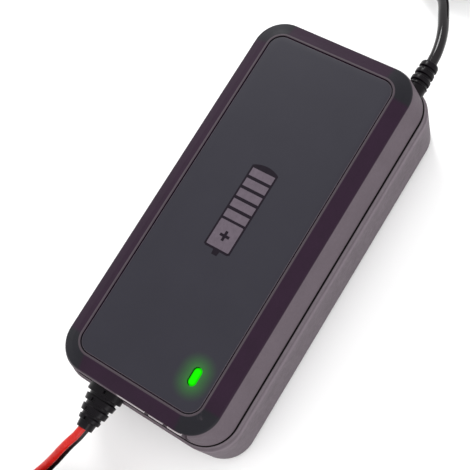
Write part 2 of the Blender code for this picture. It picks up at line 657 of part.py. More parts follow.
def make_clip(colour, slot, housing):
    """A battery clip whose upper jaw and grip turn on the pivot, pointing away from the housing."""
    lead_x, lead_y, _ = CLIPS[colour]
    pivot = (lead_x + GRIP_ASIDE, lead_y - GAP + CLIP_TAIL, CLIP_UP)
    clip = empty(f"{colour}_clip", housing, pivot, (0, 0, math.radians(-90)))
    hinge = empty(f"{colour}_clip_hinge", clip)
    make_jaw(f"{colour}_clip_lower_jaw", False, LOWER_CHEEK, clip)
    make_jaw(f"{colour}_clip_upper_jaw", True, UPPER_CHEEK, hinge)
    make_grip(f"{colour}_clip_lower_grip", False, LOWER_CHEEK, slot, clip)
    make_grip(f"{colour}_clip_upper_grip", True, UPPER_CHEEK, slot, hinge)
    pin = [(2.4, -PIN_HALF_LENGTH), (2.4, -PIN_HALF_LENGTH + 0.5), (1.5, -PIN_HALF_LENGTH + 0.55),
           (1.5, PIN_HALF_LENGTH - 0.55), (2.4, PIN_HALF_LENGTH - 0.5), (2.4, PIN_HALF_LENGTH)]
    solid(f"{colour}_clip_pivot", turned(pin, 14), "steel", clip)
    make_spring(f"{colour}_clip_spring", clip)


def main():
    clear_scene()
    housing = empty("housing", None, (0.0, HOUSING_Y, 0.0))
    make_top_cover(housing)
    make_base_shell(housing)
    make_panel(housing)
    make_indicator(housing)
    make_feet_and_screws(housing)
    make_board(housing)
    make_electronics(housing)
    make_ac_relief(housing)
    make_dc_relief(housing)
    make_cords(housing)
    make_plug(housing)
    make_clip("red", "red", housing)
    make_clip("black", "rubber", housing)


main()
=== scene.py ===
"""The looks of a car battery charger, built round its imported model.

A slim two-part housing carries a flat panel with a printed battery sign and a green lamp. A mains
cord with its plug leaves one end, and two battery leads with their clips leave the other. Shapes
are worked out in millimetres in the model's own frame and turned into metres when a mesh is made.
"""

import math

import bmesh
import bpy
from bpy.props import FloatProperty, FloatVectorProperty
from mathutils import Matrix, Vector


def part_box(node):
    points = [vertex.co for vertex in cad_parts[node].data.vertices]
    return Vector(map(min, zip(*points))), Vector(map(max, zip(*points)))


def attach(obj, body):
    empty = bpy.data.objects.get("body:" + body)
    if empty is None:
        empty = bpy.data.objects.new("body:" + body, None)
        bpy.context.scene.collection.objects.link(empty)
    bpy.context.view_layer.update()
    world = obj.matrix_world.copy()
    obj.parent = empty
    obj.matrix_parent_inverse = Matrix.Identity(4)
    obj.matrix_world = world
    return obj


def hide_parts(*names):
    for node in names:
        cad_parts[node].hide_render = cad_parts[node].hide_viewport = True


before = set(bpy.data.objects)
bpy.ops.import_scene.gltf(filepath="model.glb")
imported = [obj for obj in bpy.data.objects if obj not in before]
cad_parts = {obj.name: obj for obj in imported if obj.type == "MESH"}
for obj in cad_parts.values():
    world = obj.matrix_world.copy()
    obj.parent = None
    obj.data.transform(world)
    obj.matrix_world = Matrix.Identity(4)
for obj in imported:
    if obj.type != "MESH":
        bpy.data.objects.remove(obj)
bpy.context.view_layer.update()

bl_info = {
    "name": "Car battery charger",
    "version": (1, 0, 0),
    "blender": (4, 5, 0),
    "location": "3D View > Sidebar > Charger",
    "description": "Builds the finished surfaces, cords and clips of a car battery charger",
    "category": "Object",
}

MM = 0.001
CREASE = math.radians(32.0)


def span(node):
    """A CAD node's lowest and highest corners in millimetres."""
    low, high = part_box(node)
    return low / MM, high / MM


def middle(node):
    low, high = span(node)
    return (low + high) / 2


def top_of(node):
    return span(node)[1].z


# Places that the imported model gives, in millimetres
HOUSING_Y = middle("base_shell").y
TOP_Z = top_of("top_cover")
SEAM_Z = top_of("base_shell") - 2.2
FOOT_HEIGHT = span("base_shell")[0].z
PANEL_Z = top_of("panel_plate")
LAMP_AT = middle("led_lens")
LENS_Z = top_of("led_lens")
RELIEF_Z = middle("ac_strain_relief").z
AC_X = middle("ac_strain_relief").x
DC_X = middle("dc_strain_relief").x
SCREW_NODES = [f"case_screw_{number}" for number in range(1, 5)]
FOOT_NODES = [f"rubber_foot_{number}" for number in range(1, 5)]
BOSSES = [middle(node) for node in SCREW_NODES]
FEET = [middle(node) for node in FOOT_NODES]

# Housing outline: half width, half length and corner radius at each level
COVER_EDGE = (41.7, 96.2, 14.4)
SEAM = (46.7, 97.4, 16.1)
BASE = (47.8, 98.9, 16.6)
RIDGE = (34.0, 88.6, 7.6)
EDGE_Z = 49.4
WALL = 2.3
LAMP_HALF_LENGTH = 4.3
LAMP_HALF_WIDTH = 2.05
LAMP_GAP = 0.3
GLOW_REACH = 7.6
POST_RADIUS = 3.0
COLUMN_RADIUS = 3.8
MAINS_BORE = 5.2
LEAD_BORE = (9.5, 7.3)
SLOT_DEPTH = 9.0

# The plug's cord end, measured from the housing's centre, its turn, and its pins' distance from its middle
PLUG_AT = (-24.2, 260.4, 7.6)
PLUG_TURN = math.radians(-4.0)
PIN_ASIDE = 9.3

# Cord routes in metres, measured from the housing's centre on the ground
AC_RUN = [(0.0360, 0.1120, 0.0350), (0.0358, 0.1160, 0.0350), (0.0347, 0.1217, 0.0345),
          (0.0317, 0.1304, 0.0330), (0.0270, 0.1394, 0.0300), (0.0212, 0.1488, 0.0255),
          (0.0105, 0.1575, 0.0185), (-0.0025, 0.1662, 0.0110), (-0.0146, 0.1749, 0.0055),
          (-0.0230, 0.1834, 0.0031), (-0.0280, 0.1935, 0.0027), (-0.0297, 0.2050, 0.0027)]
AC_TAIL = [(-0.0289, 0.2160, 0.0192), (-0.0276, 0.2250, 0.0182), (-0.0262, 0.2350, 0.0150),
           (-0.0250, 0.2450, 0.0110), (-0.0244, 0.2540, 0.0082), (-0.0242, 0.2598, 0.0076)]
RED_RUN = [(-0.0156, -0.1180, 0.0369), (-0.0163, -0.1216, 0.0367), (-0.0182, -0.1261, 0.0356),
           (-0.0207, -0.1308, 0.0326), (-0.0236, -0.1362, 0.0284), (-0.0273, -0.1424, 0.0236),
           (-0.0314, -0.1496, 0.0202), (-0.0360, -0.1585, 0.0184), (-0.0377, -0.1680, 0.0180)]
BLACK_RUN = [(-0.0156, -0.1180, 0.0329), (-0.0163, -0.1216, 0.0327), (-0.0182, -0.1261, 0.0312),
             (-0.0207, -0.1308, 0.0278), (-0.0236, -0.1362, 0.0234), (-0.0274, -0.1428, 0.0180),
             (-0.0316, -0.1502, 0.0112), (-0.0360, -0.1585, 0.0046), (-0.0377, -0.1680, 0.0020)]
RED_TAIL = [(-0.0206, -0.1962, 0.0296), (-0.0125, -0.1998, 0.0280), (-0.0035, -0.2038, 0.0225),
            (0.0035, -0.2095, 0.0155), (0.0075, -0.2165, 0.0104), (0.0090, -0.2235, 0.0086),
            (0.0094, -0.2295, 0.0084)]
BLACK_TAIL = [(-0.0360, -0.1788, 0.0138), (-0.0332, -0.1870, 0.0128), (-0.0310, -0.1950, 0.0102),
              (-0.0302, -0.2030, 0.0086), (-0.0300, -0.2090, 0.0084)]

# Coils: winding direction, whole turns, layers and radial travel in millimetres
AC_WINDING = {"turning": -1, "whole_turns": 7, "layers": 4, "radii": (35.4, 25.6)}
LEAD_WINDING = {"turning": 1, "whole_turns": 8, "layers": 4, "radii": (25.5, 17.5)}
STRAP_WIDTH = 9.0


# ---------------------------------------------------------------- settings shown in the sidebar

COLOUR = {"subtype": "COLOR", "size": 3, "min": 0.0, "max": 1.0}


class ChargerColours(bpy.types.PropertyGroup):
    band: FloatVectorProperty(name="Cover band", description="Sloping dark band round the panel",
                              default=(0.0145, 0.0048, 0.0145), **COLOUR)
    corner: FloatVectorProperty(name="Band corners", description="Neutral tone of the band's rounded corners",
                                default=(0.0085, 0.0082, 0.0115), **COLOUR)
    # Colour of the painted highlight along the ridge's crest.
    ridge: FloatVectorProperty(name="Ridge", description="Rubbed crest round the panel",
                               default=(0.05, 0.039, 0.047), **COLOUR)
    wall: FloatVectorProperty(name="Walls", description="Grained side walls of the cover and base",
                              default=(0.088, 0.070, 0.083), **COLOUR)
    panel: FloatVectorProperty(name="Panel", description="Slate panel",
                               default=(0.0195, 0.0185, 0.0255), **COLOUR)
    lamp: FloatVectorProperty(name="Lamp", description="Light of the charge lamp",
                              default=(0.008, 0.86, 0.0), **COLOUR)
    red: FloatVectorProperty(name="Red lead", description="Red insulation and clip grips",
                             default=(0.43, 0.012, 0.008), **COLOUR)
    black: FloatVectorProperty(name="Black lead", description="Black insulation, boots and clip grips",
                               default=(0.004, 0.0035, 0.0045), **COLOUR)


class ChargerCords(bpy.types.PropertyGroup):
    mains_diameter: FloatProperty(
        name="Mains cord diameter", description="Outside diameter of the mains cord",
        unit="LENGTH", default=0.0054, min=0.003, max=0.01)
    mains_length: FloatProperty(
        name="Mains cord length", description="Length from the boot to the plug",
        unit="LENGTH", default=1.5, min=0.5, max=3.0)
    lead_diameter: FloatProperty(
        name="Battery lead diameter", description="Outside diameter of each battery lead",
        unit="LENGTH", default=0.0038, min=0.002, max=0.008)
    lead_length: FloatProperty(
        name="Battery lead length", description="Length from the boot to a clip",
        unit="LENGTH", default=1.2, min=0.4, max=3.0)


class ChargerStudio(bpy.types.PropertyGroup):
    azimuth: FloatProperty(
        name="Azimuth", description="Camera's turn round the charger", unit="ROTATION",
        default=math.radians(66.0))
    elevation: FloatProperty(
        name="Elevation", description="Camera's height above the horizon", unit="ROTATION",
        default=math.radians(65.85))
    roll: FloatProperty(
        name="Roll", description="Camera's turn about its own axis", unit="ROTATION",
        default=math.radians(35.94))
    distance: FloatProperty(
        name="Distance", description="Camera to the panel", unit="LENGTH", default=0.468)
    focal_length: FloatProperty(
        name="Focal length", description="Camera lens in millimetres", default=79.672)
    floor: FloatVectorProperty(name="Floor", description="Pale floor",
                               default=(0.88, 0.88, 0.88), **COLOUR)


# ---------------------------------------------------------------- mesh helpers

def loft(loops, closed=False):
    """A body through rings of equal length, capped at both ends or joined end to end."""
    shape = bmesh.new()
    rings = [[shape.verts.new(point) for point in loop] for loop in loops]
    followers = rings[1:] + (rings[:1] if closed else [])
    for lower, upper in zip(rings, followers):
        for i in range(len(lower)):
            j = (i + 1) % len(lower)
            shape.faces.new((lower[i], lower[j], upper[j], upper[i]))
    if not closed:
        shape.faces.new(rings[0][::-1])
        shape.faces.new(rings[-1])
    return shape


def softened(stations, reach, steps=3):
    """Stations of any dimension with each bend between them rounded over that reach."""
    stations = [Vector(station) for station in stations]
    rounded = [stations[0]]
    for before, here, after in zip(stations, stations[1:], stations[2:]):
        back = before - here
        ahead = after - here
        start = here + back * min(0.42, reach / back.length)
        end = here + ahead * min(0.42, reach / ahead.length)
        for step in range(steps + 1):
            t = step / steps
            rounded.append(start * (1 - t) ** 2 + here * (2 * t * (1 - t)) + end * t**2)
    return [*rounded, stations[-1]]


def rounded_rect(half_x, half_y, radius, z, steps=14):
    points = []
    for quarter, (sx, sy) in enumerate(((1, 1), (-1, 1), (-1, -1), (1, -1))):
        for step in range(steps + 1):
            angle = (quarter + step / steps) * math.pi / 2
            points.append((sx * (half_x - radius) + radius * math.cos(angle),
                           sy * (half_y - radius) + radius * math.sin(angle), z))
    return points


def ellipse(half_x, half_z, y, steps=48):
    turns = (2 * math.pi * step / steps for step in range(steps))
    return [(half_x * math.cos(turn), y, -half_z * math.sin(turn)) for turn in turns]


def turned(stations, steps=48):
    """A body turned about Z from (radius, height) stations, from its lower end up."""
    rings = []
    for radius, height in stations:
        turns = (2 * math.pi * step / steps for step in range(steps))
        rings.append([(radius * math.cos(turn), radius * math.sin(turn), height) for turn in turns])
    return loft(rings)


def prism(outline, low, high):
    return loft([[(x, y, z) for x, y in outline] for z in (low, high)])


def box(size, centre=(0.0, 0.0, 0.0)):
    shape = bmesh.new()
    bmesh.ops.create_cube(shape, size=1.0)
    bmesh.ops.scale(shape, vec=size, verts=shape.verts)
    return moved(shape, *centre)


def moved(shape, x=0.0, y=0.0, z=0.0):
    bmesh.ops.translate(shape, vec=(x, y, z), verts=shape.verts)
    return shape


def along_y(shape):
    """Lay a shape that stands on Z down along +Y."""
    bmesh.ops.rotate(shape, verts=shape.verts, matrix=Matrix.Rotation(-math.pi / 2, 3, "X"))
    return shape


def merged(*shapes):
    whole = bmesh.new()
    for shape in shapes:
        part = bpy.data.meshes.new("part")
        shape.to_mesh(part)
        shape.free()
        whole.from_mesh(part)
        bpy.data.meshes.remove(part)
    return whole


def mesh_of(shape):
    bmesh.ops.recalc_face_normals(shape, faces=shape.faces)
    mesh = bpy.data.meshes.new("part")
    shape.to_mesh(mesh)
    shape.free()
    return mesh


def evaluated_mesh(obj):
    """The plain mesh that an object's modifiers make. The object itself is removed."""
    graph = bpy.context.evaluated_depsgraph_get()
    mesh = bpy.data.meshes.new_from_object(obj.evaluated_get(graph))
    obj.modifiers.clear()
    bpy.data.objects.remove(obj)
    return mesh


def carved(mesh, tool, operation="DIFFERENCE"):
    """A mesh cut by another, or joined to it."""
    target = bpy.data.objects.new("target", mesh)
    knife = bpy.data.objects.new("knife", tool)
    for obj in (target, knife):
        bpy.context.scene.collection.objects.link(obj)
    change = target.modifiers.new("Boolean", "BOOLEAN")
    change.operation = operation
    change.solver = "EXACT"
    change.object = knife
    result = evaluated_mesh(target)
    bpy.data.objects.remove(knife)
    return result


def piece(name, mesh, finish, body="charger", replaces=()):
    """A finished piece from a mesh in millimetres, riding on a CAD body."""
    mesh.transform(Matrix.Scale(MM, 4))
    mesh.materials.clear()
    mesh.materials.append(finish)
    mesh.shade_smooth()
    mesh.set_sharp_from_angle(angle=CREASE)
    mesh.name = name
    obj = bpy.data.objects.new(name, mesh)
    bpy.context.scene.collection.objects.link(obj)
    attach(obj, body)
    if replaces:
        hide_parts(*replaces)
    return obj


def refined(name, node, finish, width, segments=2, body="charger"):
    """A CAD node's shape with its doubled points merged and its edges rounded."""
    shape = bmesh.new()
    shape.from_mesh(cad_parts[node].data)
    bmesh.ops.scale(shape, vec=(1 / MM,) * 3, verts=shape.verts)
    bmesh.ops.remove_doubles(shape, verts=shape.verts, dist=0.002)
    bmesh.ops.dissolve_limit(shape, angle_limit=math.radians(1.0), verts=shape.verts, edges=shape.edges)
    obj = piece(name, mesh_of(shape), finish, body, (node,))
    edge = obj.modifiers.new("Rounded edges", "BEVEL")
    edge.width = width * MM
    edge.segments = segments
    edge.limit_method = "ANGLE"
    edge.angle_limit = math.radians(34)
    edge.harden_normals = True
    return obj


# ---------------------------------------------------------------- geometry node helpers

class Pattern:
    """A geometry node tree with named inputs that ends in real, finished geometry."""

    def __init__(self, name, inputs):
        self.group = bpy.data.node_groups.new(name, "GeometryNodeTree")
        self.add_socket("Geometry", "NodeSocketGeometry", "INPUT")
        for label, (kind, default) in inputs.items():
            self.add_socket(label, kind, "INPUT").default_value = default
        self.add_socket("Finish", "NodeSocketMaterial", "INPUT")
        self.add_socket("Geometry", "NodeSocketGeometry", "OUTPUT")
        self.given = self.group.nodes.new("NodeGroupInput").outputs

    def add_socket(self, label, kind, direction):
        return self.group.interface.new_socket(label, in_out=direction, socket_type=kind)

    def node(self, kind, settings=None, inputs=None):
        return placed_node(self.group, kind, settings, inputs)

    def row(self):
        """Points in a straight row from the tree's own count, first place and step."""
        return self.node("GeometryNodeMeshLine", {"mode": "OFFSET"},
                         {"Count": self.given["Count"], "Start Location": self.given["First"],
                          "Offset": self.given["Step"]}).outputs[0]

    def end(self, shape, points=None):
        """Copy the shape to the points, or else to the given places, and give it its finish."""
        copies = self.node("GeometryNodeInstanceOnPoints",
                           inputs={"Points": points or self.given["Geometry"], "Instance": shape})
        geometry = copies.outputs[0]
        real = self.node("GeometryNodeRealizeInstances", inputs={"Geometry": geometry})
        finish = self.node("GeometryNodeSetMaterial",
                           inputs={"Geometry": real.outputs[0], "Material": self.given["Finish"]})
        out = self.group.nodes.new("NodeGroupOutput")
        self.group.links.new(finish.outputs[0], out.inputs["Geometry"])
        return self

    def grown(self, finish, places=((0.0, 0.0, 0.0),), **values):
        """The plain mesh that the tree makes, starting from a mesh of those places."""
        seeds = bpy.data.meshes.new("places")
        seeds.from_pydata([tuple(place) for place in places], [], [])
        obj = bpy.data.objects.new("grown", seeds)
        modifier = obj.modifiers.new(self.group.name, "NODES")
        modifier.node_group = self.group
        wanted = {**{label.replace("_", " "): value for label, value in values.items()}, "Finish": finish}
        for item in self.group.interface.items_tree:
            if item.item_type == "SOCKET" and item.in_out == "INPUT" and item.name in wanted:
                modifier[item.identifier] = wanted[item.name]
        bpy.context.scene.collection.objects.link(obj)
        return evaluated_mesh(obj)


def placed_node(tree, kind, settings=None, inputs=None):
    """A node with its settings made and its inputs set to a value or linked to a socket."""
    node = tree.nodes.new(kind)
    for name, value in (settings or {}).items():
        setattr(node, name, value)
    for name, value in (inputs or {}).items():
        if isinstance(value, bpy.types.NodeSocket):
            tree.links.new(value, node.inputs[name])
        else:
            node.inputs[name].default_value = value
    return node


ROW = {"Count": ("NodeSocketInt", 3), "First": ("NodeSocketVector", (0, 0, 0)),
       "Step": ("NodeSocketVector", (10, 0, 0))}


def row_pattern(name):
    """Boxes of one size in a straight row: vent slots, ribs and printed cells."""
    tree = Pattern(name, {**ROW, "Size": ("NodeSocketVector", (2, 2, 2))})
    block = tree.node("GeometryNodeMeshCube", inputs={"Size": tree.given["Size"]})
    return tree.end(block.outputs["Mesh"], tree.row())


def rib_pattern():
    """Round bars across a handle or a plug, in a straight row."""
    tree = Pattern("Grip ribs", {**ROW, "Radius": ("NodeSocketFloat", 0.5),
                                 "Length": ("NodeSocketFloat", 10.0)})
    bar = tree.node("GeometryNodeMeshCylinder", {"fill_type": "NGON"},
                    {"Vertices": 12, "Radius": tree.given["Radius"], "Depth": tree.given["Length"]})
    return tree.end(bar.outputs["Mesh"], tree.row())


def screw_pattern():
    """Countersunk cross-head screws, heads down, at given places."""
    sizes = {"Head Radius": 3.2, "Head Height": 1.4, "Shank Radius": 1.5, "Shank": 30.0}
    tree = Pattern("Case screws", {label: ("NodeSocketFloat", size) for label, size in sizes.items()})
    head = tree.node("GeometryNodeMeshCone",
                     inputs={"Vertices": 32, "Radius Bottom": tree.given["Head Radius"],
                             "Radius Top": tree.given["Shank Radius"], "Depth": tree.given["Head Height"]})
    shank = tree.node("GeometryNodeMeshCylinder",
                      inputs={"Vertices": 20, "Radius": tree.given["Shank Radius"],
                              "Depth": tree.given["Shank"]})
    lift = tree.node("ShaderNodeMath", {"operation": "MULTIPLY"}, {0: tree.given["Shank"], 1: 0.5})
    up = tree.node("ShaderNodeCombineXYZ", inputs={"Z": lift.outputs[0]})
    raised = tree.node("GeometryNodeTransform",
                       inputs={"Geometry": shank.outputs["Mesh"], "Translation": up.outputs[0]})
    cross = [tree.node("GeometryNodeMeshCube", inputs={"Size": size}).outputs["Mesh"]
             for size in ((4.0, 0.8, 1.7), (0.8, 4.0, 1.7))]
    body = tree.node("GeometryNodeMeshBoolean", {"operation": "UNION"})
    for part in (head.outputs["Mesh"], raised.outputs[0]):
        tree.group.links.new(part, body.inputs["Mesh 2"])
    cut = tree.node("GeometryNodeMeshBoolean", {"operation": "DIFFERENCE"}, {"Mesh 1": body.outputs[0]})
    for part in cross:
        tree.group.links.new(part, cut.inputs["Mesh 2"])
    return tree.end(cut.outputs[0])


def foot_pattern():
    """Round rubber feet with a raised rim, at given places."""
    tree = Pattern("Rubber feet", {"Radius": ("NodeSocketFloat", 5.0), "Height": ("NodeSocketFloat", 1.8)})
    disc = tree.node("GeometryNodeMeshCone",
                     inputs={"Vertices": 48, "Radius Bottom": tree.given["Radius"],
                             "Radius Top": tree.given["Radius"], "Depth": tree.given["Height"]})
    narrower = tree.node("ShaderNodeMath", {"operation": "MULTIPLY"}, {0: tree.given["Radius"], 1: 0.8})
    rim = tree.node("GeometryNodeCurvePrimitiveCircle",
                    inputs={"Resolution": 48, "Radius": narrower.outputs[0]})
    bead = tree.node("GeometryNodeCurvePrimitiveCircle", inputs={"Resolution": 8, "Radius": 0.35})
    lip = tree.node("GeometryNodeCurveToMesh",
                    inputs={"Curve": rim.outputs[0], "Profile Curve": bead.outputs[0]})
    lifted = tree.node("GeometryNodeTransform",
                       inputs={"Geometry": lip.outputs[0], "Translation": (0.0, 0.0, 0.35)})
    raised = tree.node("GeometryNodeTransform",
                       inputs={"Geometry": disc.outputs["Mesh"], "Translation": (0.0, 0.0, 0.3)})
    both = tree.node("GeometryNodeJoinGeometry")
    for part in (lifted.outputs[0], raised.outputs[0]):
        tree.group.links.new(part, both.inputs[0])
    return tree.end(both.outputs[0])


def spring_pattern():
    """A wire wound round a pin."""
    sizes = {"Turns": 3.5, "Radius": 2.9, "Height": 5.2, "Wire": 0.45}
    tree = Pattern("Wound spring", {label: ("NodeSocketFloat", size) for label, size in sizes.items()})
    given = tree.given
    helix = tree.node("GeometryNodeCurveSpiral",
                      inputs={"Resolution": 28, "Rotations": given["Turns"], "Start Radius": given["Radius"],
                              "End Radius": given["Radius"], "Height": given["Height"]})
    wire = tree.node("GeometryNodeCurvePrimitiveCircle", inputs={"Resolution": 10, "Radius": given["Wire"]})
    tube = tree.node("GeometryNodeCurveToMesh",
                     inputs={"Curve": helix.outputs[0], "Profile Curve": wire.outputs[0], "Fill Caps": True})
    return tree.end(tube.outputs[0])


# ---------------------------------------------------------------- material helpers

class Finish:
    """A Principled material whose patterns read the piece's own place, in millimetres."""

    def __init__(self, name, colour, roughness, metallic=0.0, fixed=None):
        self.made = bpy.data.materials.new(name)
        self.made.use_nodes = True
        self.tree = self.made.node_tree
        self.shader = self.tree.nodes["Principled BSDF"]
        self.shader.inputs["Base Color"].default_value = (*colour, 1.0)
        self.shader.inputs["Roughness"].default_value = roughness
        self.shader.inputs["Metallic"].default_value = metallic
        for label, value in (fixed or {}).items():
            self.shader.inputs[label].default_value = value
        where = self.put("ShaderNodeTexCoord").outputs["Object"]
        self.place = self.put("ShaderNodeVectorMath", {"operation": "SCALE"},
                              {0: where, "Scale": 1 / MM}).outputs[0]
        self.colour = (*colour, 1.0)
        self.roughness = roughness
        self.height = None

    def put(self, kind, settings=None, inputs=None):
        return placed_node(self.tree, kind, settings, inputs)

    def stretched(self, stretch, centre=(0.0, 0.0, 0.0)):
        shifted = self.put("ShaderNodeVectorMath", {"operation": "SUBTRACT"}, {0: self.place, 1: centre})
        return self.put("ShaderNodeVectorMath", {"operation": "MULTIPLY"},
                        {0: shifted.outputs[0], 1: stretch}).outputs[0]

    def noise(self, size, detail=3.0, stretch=(1.0, 1.0, 1.0)):
        """Soft noise whose blotches are about that many millimetres across."""
        return self.put("ShaderNodeTexNoise", inputs={"Vector": self.stretched(stretch), "Scale": 1 / size,
                                                      "Detail": detail}).outputs[0]

    def cells(self, size, feature="F1"):
        return self.put("ShaderNodeTexVoronoi", {"feature": feature},
                        {"Vector": self.place, "Scale": 1 / size}).outputs["Distance"]

    def axis(self, name):
        return self.put("ShaderNodeSeparateXYZ", inputs={0: self.place}).outputs[name]

    def ranged(self, value, low, high, to_low=0.0, to_high=1.0, smooth=False):
        kind = "SMOOTHSTEP" if smooth else "LINEAR"
        return self.put("ShaderNodeMapRange", {"interpolation_type": kind},
                        {0: value, 1: low, 2: high, 3: to_low, 4: to_high}).outputs[0]

    def maths(self, operation, first, second=0.0):
        return self.put("ShaderNodeMath", {"operation": operation}, {0: first, 1: second}).outputs[0]

    def blend(self, factor, second, way="MIX"):
        mix = self.put("ShaderNodeMix", {"data_type": "RGBA", "blend_type": way},
                       {0: factor, 6: self.colour, 7: second})
        self.colour = mix.outputs[2]

    def tint(self, factor, second):
        """Lay a second colour over what is there, as far as the factor says."""
        self.blend(factor, (*second, 1.0))

    def mottle(self, size, strength, detail=3.0, stretch=(1.0, 1.0, 1.0)):
        """Lighten and darken the colour in blotches of that size."""
        factor = self.ranged(self.noise(size, detail, stretch), 0.3, 0.7, 1.0 - strength, 1.0 + strength)
        grey = self.put("ShaderNodeCombineColor", inputs={0: factor, 1: factor, 2: factor}).outputs[0]
        self.blend(1.0, grey, "MULTIPLY")

    def worn(self, colour, amount=0.6, low=0.52, high=0.6):
        """Rub a colour into the outer edges."""
        pointed = self.put("ShaderNodeNewGeometry").outputs["Pointiness"]
        edge = self.ranged(pointed, low, high, 0.0, amount)
        self.tint(self.maths("MULTIPLY", edge, self.ranged(self.noise(1.5), 0.35, 0.65)), colour)

    def uneven(self, size, strength, stretch=(1.0, 1.0, 1.0)):
        """Vary the roughness about its own value."""
        value = self.roughness
        noise = self.noise(size, 3.0, stretch)
        self.roughness = self.ranged(noise, 0.3, 0.7, value - strength, value + strength)

    def relief(self, height, depth):
        """Press a pattern into the surface, that many millimetres deep."""
        layer = self.maths("MULTIPLY", height, depth)
        self.height = layer if self.height is None else self.maths("ADD", self.height, layer)

    def done(self):
        if isinstance(self.colour, bpy.types.NodeSocket):
            self.tree.links.new(self.colour, self.shader.inputs["Base Color"])
        if isinstance(self.roughness, bpy.types.NodeSocket):
            self.tree.links.new(self.roughness, self.shader.inputs["Roughness"])
        if self.height is not None:
            bump = self.put("ShaderNodeBump", inputs={"Height": self.height, "Strength": 1.0, "Distance": MM})
            self.tree.links.new(bump.outputs[0], self.shader.inputs["Normal"])
        return self.made


def moulded(name, colour, roughness, grain=0.35, depth=0.02, variation=0.06, fixed=None):
    """A moulded plastic or rubber with a fine spark-eroded grain."""
    finish = Finish(name, colour, roughness, fixed=fixed)
    finish.mottle(6.0, variation)
    finish.mottle(grain, variation)
    finish.uneven(2.5, 0.05)
    finish.relief(finish.noise(grain, 4.0), depth)
    return finish


def metal(name, colour, roughness, brushed=(1.0, 1.0, 1.0), wear=None):
    """A metal with fine scratches drawn along one direction."""
    finish = Finish(name, colour, roughness, 1.0)
    finish.mottle(3.0, 0.08)
    finish.mottle(0.25, 0.12, 4.0, brushed)
    finish.uneven(0.5, 0.09, brushed)
    finish.relief(finish.noise(0.3, 4.0, brushed), 0.008)
    if wear:
        finish.worn(wear)
    return finish.done()


def distance_outside(finish, centre, half_x, half_y, radius):
    """How far a point lies outside a rounded outline, seen from above."""
    place = finish.put("ShaderNodeSeparateXYZ", inputs={0: finish.stretched((1.0, 1.0, 1.0), centre)}).outputs
    corner = {}
    for name, half in (("X", half_x), ("Y", half_y)):
        past = finish.maths("SUBTRACT", finish.maths("ABSOLUTE", place[name]), half - radius)
        corner[name] = finish.maths("MAXIMUM", past, 0.0)
    vector = finish.put("ShaderNodeCombineXYZ", inputs=corner).outputs[0]
    reach = finish.put("ShaderNodeVectorMath", {"operation": "LENGTH"}, {0: vector}).outputs["Value"]
    return finish.maths("SUBTRACT", reach, radius)


def distance_from_lamp(finish):
    return distance_outside(finish, tuple(LAMP_AT), LAMP_HALF_WIDTH, LAMP_HALF_LENGTH, LAMP_HALF_WIDTH)


def cover_plastic(colours):
    """Satin band, neutral corners and a ridge with a painted highlight above grained walls, in one moulding.
    """
    finish = Finish("cover_plastic", colours.band, 0.42, fixed={"Specular IOR Level": 0.12})
    height = finish.axis("Z")
    near_corner = []
    for axis, half, centre in (("X", COVER_EDGE[0], 0.0), ("Y", COVER_EDGE[1], HOUSING_Y)):
        from_middle = finish.maths("ABSOLUTE", finish.maths("SUBTRACT", finish.axis(axis), centre))
        start = half - COVER_EDGE[2]
        near_corner.append(finish.ranged(from_middle, start - 1.5, start + 1.0, smooth=True))
    finish.tint(finish.maths("MULTIPLY", *near_corner), colours.corner)
    finish.mottle(9.0, 0.07)
    finish.mottle(0.4, 0.05)
    # Painted highlight along the crest of the ridge.
    finish.tint(finish.ranged(height, TOP_Z - 0.34, TOP_Z - 0.14, smooth=True), colours.ridge)
    wall = finish.ranged(height, EDGE_Z - 0.8, EDGE_Z - 0.5, 1.0, 0.0)
    finish.tint(wall, colours.wall)
    finish.mottle(11.0, 0.05)
    finish.mottle(0.8, 0.05)
    # Painted highlight: a pale strip along the top of the near end wall, across the vent slots.
    lip = finish.maths("MULTIPLY", finish.ranged(height, EDGE_Z - 2.5, EDGE_Z - 2.1), wall)
    end_y = HOUSING_Y - COVER_EDGE[1]
    near_end = finish.ranged(finish.axis("Y"), end_y + 0.8, end_y + 0.3)
    from_slots = finish.maths("ABSOLUTE", finish.maths("SUBTRACT", finish.axis("X"), 14.0))
    beside = finish.ranged(from_slots, 18.0, 19.5, 1.0, 0.0)
    end_wall_highlight = finish.maths("MULTIPLY", lip, finish.maths("MULTIPLY", near_end, beside))
    finish.tint(end_wall_highlight, (0.37, 0.34, 0.355))
    finish.worn(colours.wall, 0.25)
    rougher = finish.ranged(wall, 0.0, 1.0, 0.42, 0.62)
    finish.roughness = finish.maths("ADD", rougher, finish.ranged(finish.noise(2.0), 0.3, 0.7, -0.05, 0.05))
    grain = finish.maths("MULTIPLY", finish.noise(0.45, 4.0), finish.ranged(wall, 0.0, 1.0, 0.25, 1.0))
    finish.relief(grain, 0.05)
    return finish.done()


def base_plastic(colours):
    """The grained grey of the lower shell, with a painted highlight along its shoulder and painted shade in
    the parting groove.
    """
    finish = moulded("base_plastic", colours.wall, 0.6, 0.45, 0.05, 0.05, {"Specular IOR Level": 0.2})
    finish.mottle(12.0, 0.06)
    height = finish.axis("Z")
    outside = distance_outside(finish, (0.0, HOUSING_Y, 0.0), *SEAM)
    # Painted highlight: a lighter band along the shoulder below the parting line.
    from_shoulder = finish.maths("ABSOLUTE", finish.maths("SUBTRACT", height, SEAM_Z - 6.2))
    shoulder = finish.ranged(from_shoulder, 0.6, 2.6, 0.8, 0.0, smooth=True)
    finish.tint(shoulder, tuple(1.4 * part for part in colours.wall))
    # Painted shade: a near-black line in the groove at the parting line.
    upper = finish.ranged(height, SEAM_Z - 1.6, SEAM_Z - 1.45)
    groove = finish.maths("MULTIPLY", upper, finish.ranged(outside, 0.1, 0.16, 1.0, 0.0))
    finish.tint(groove, (0.002, 0.002, 0.002))
    finish.worn((0.2, 0.18, 0.19), 0.3)
    return finish.done()


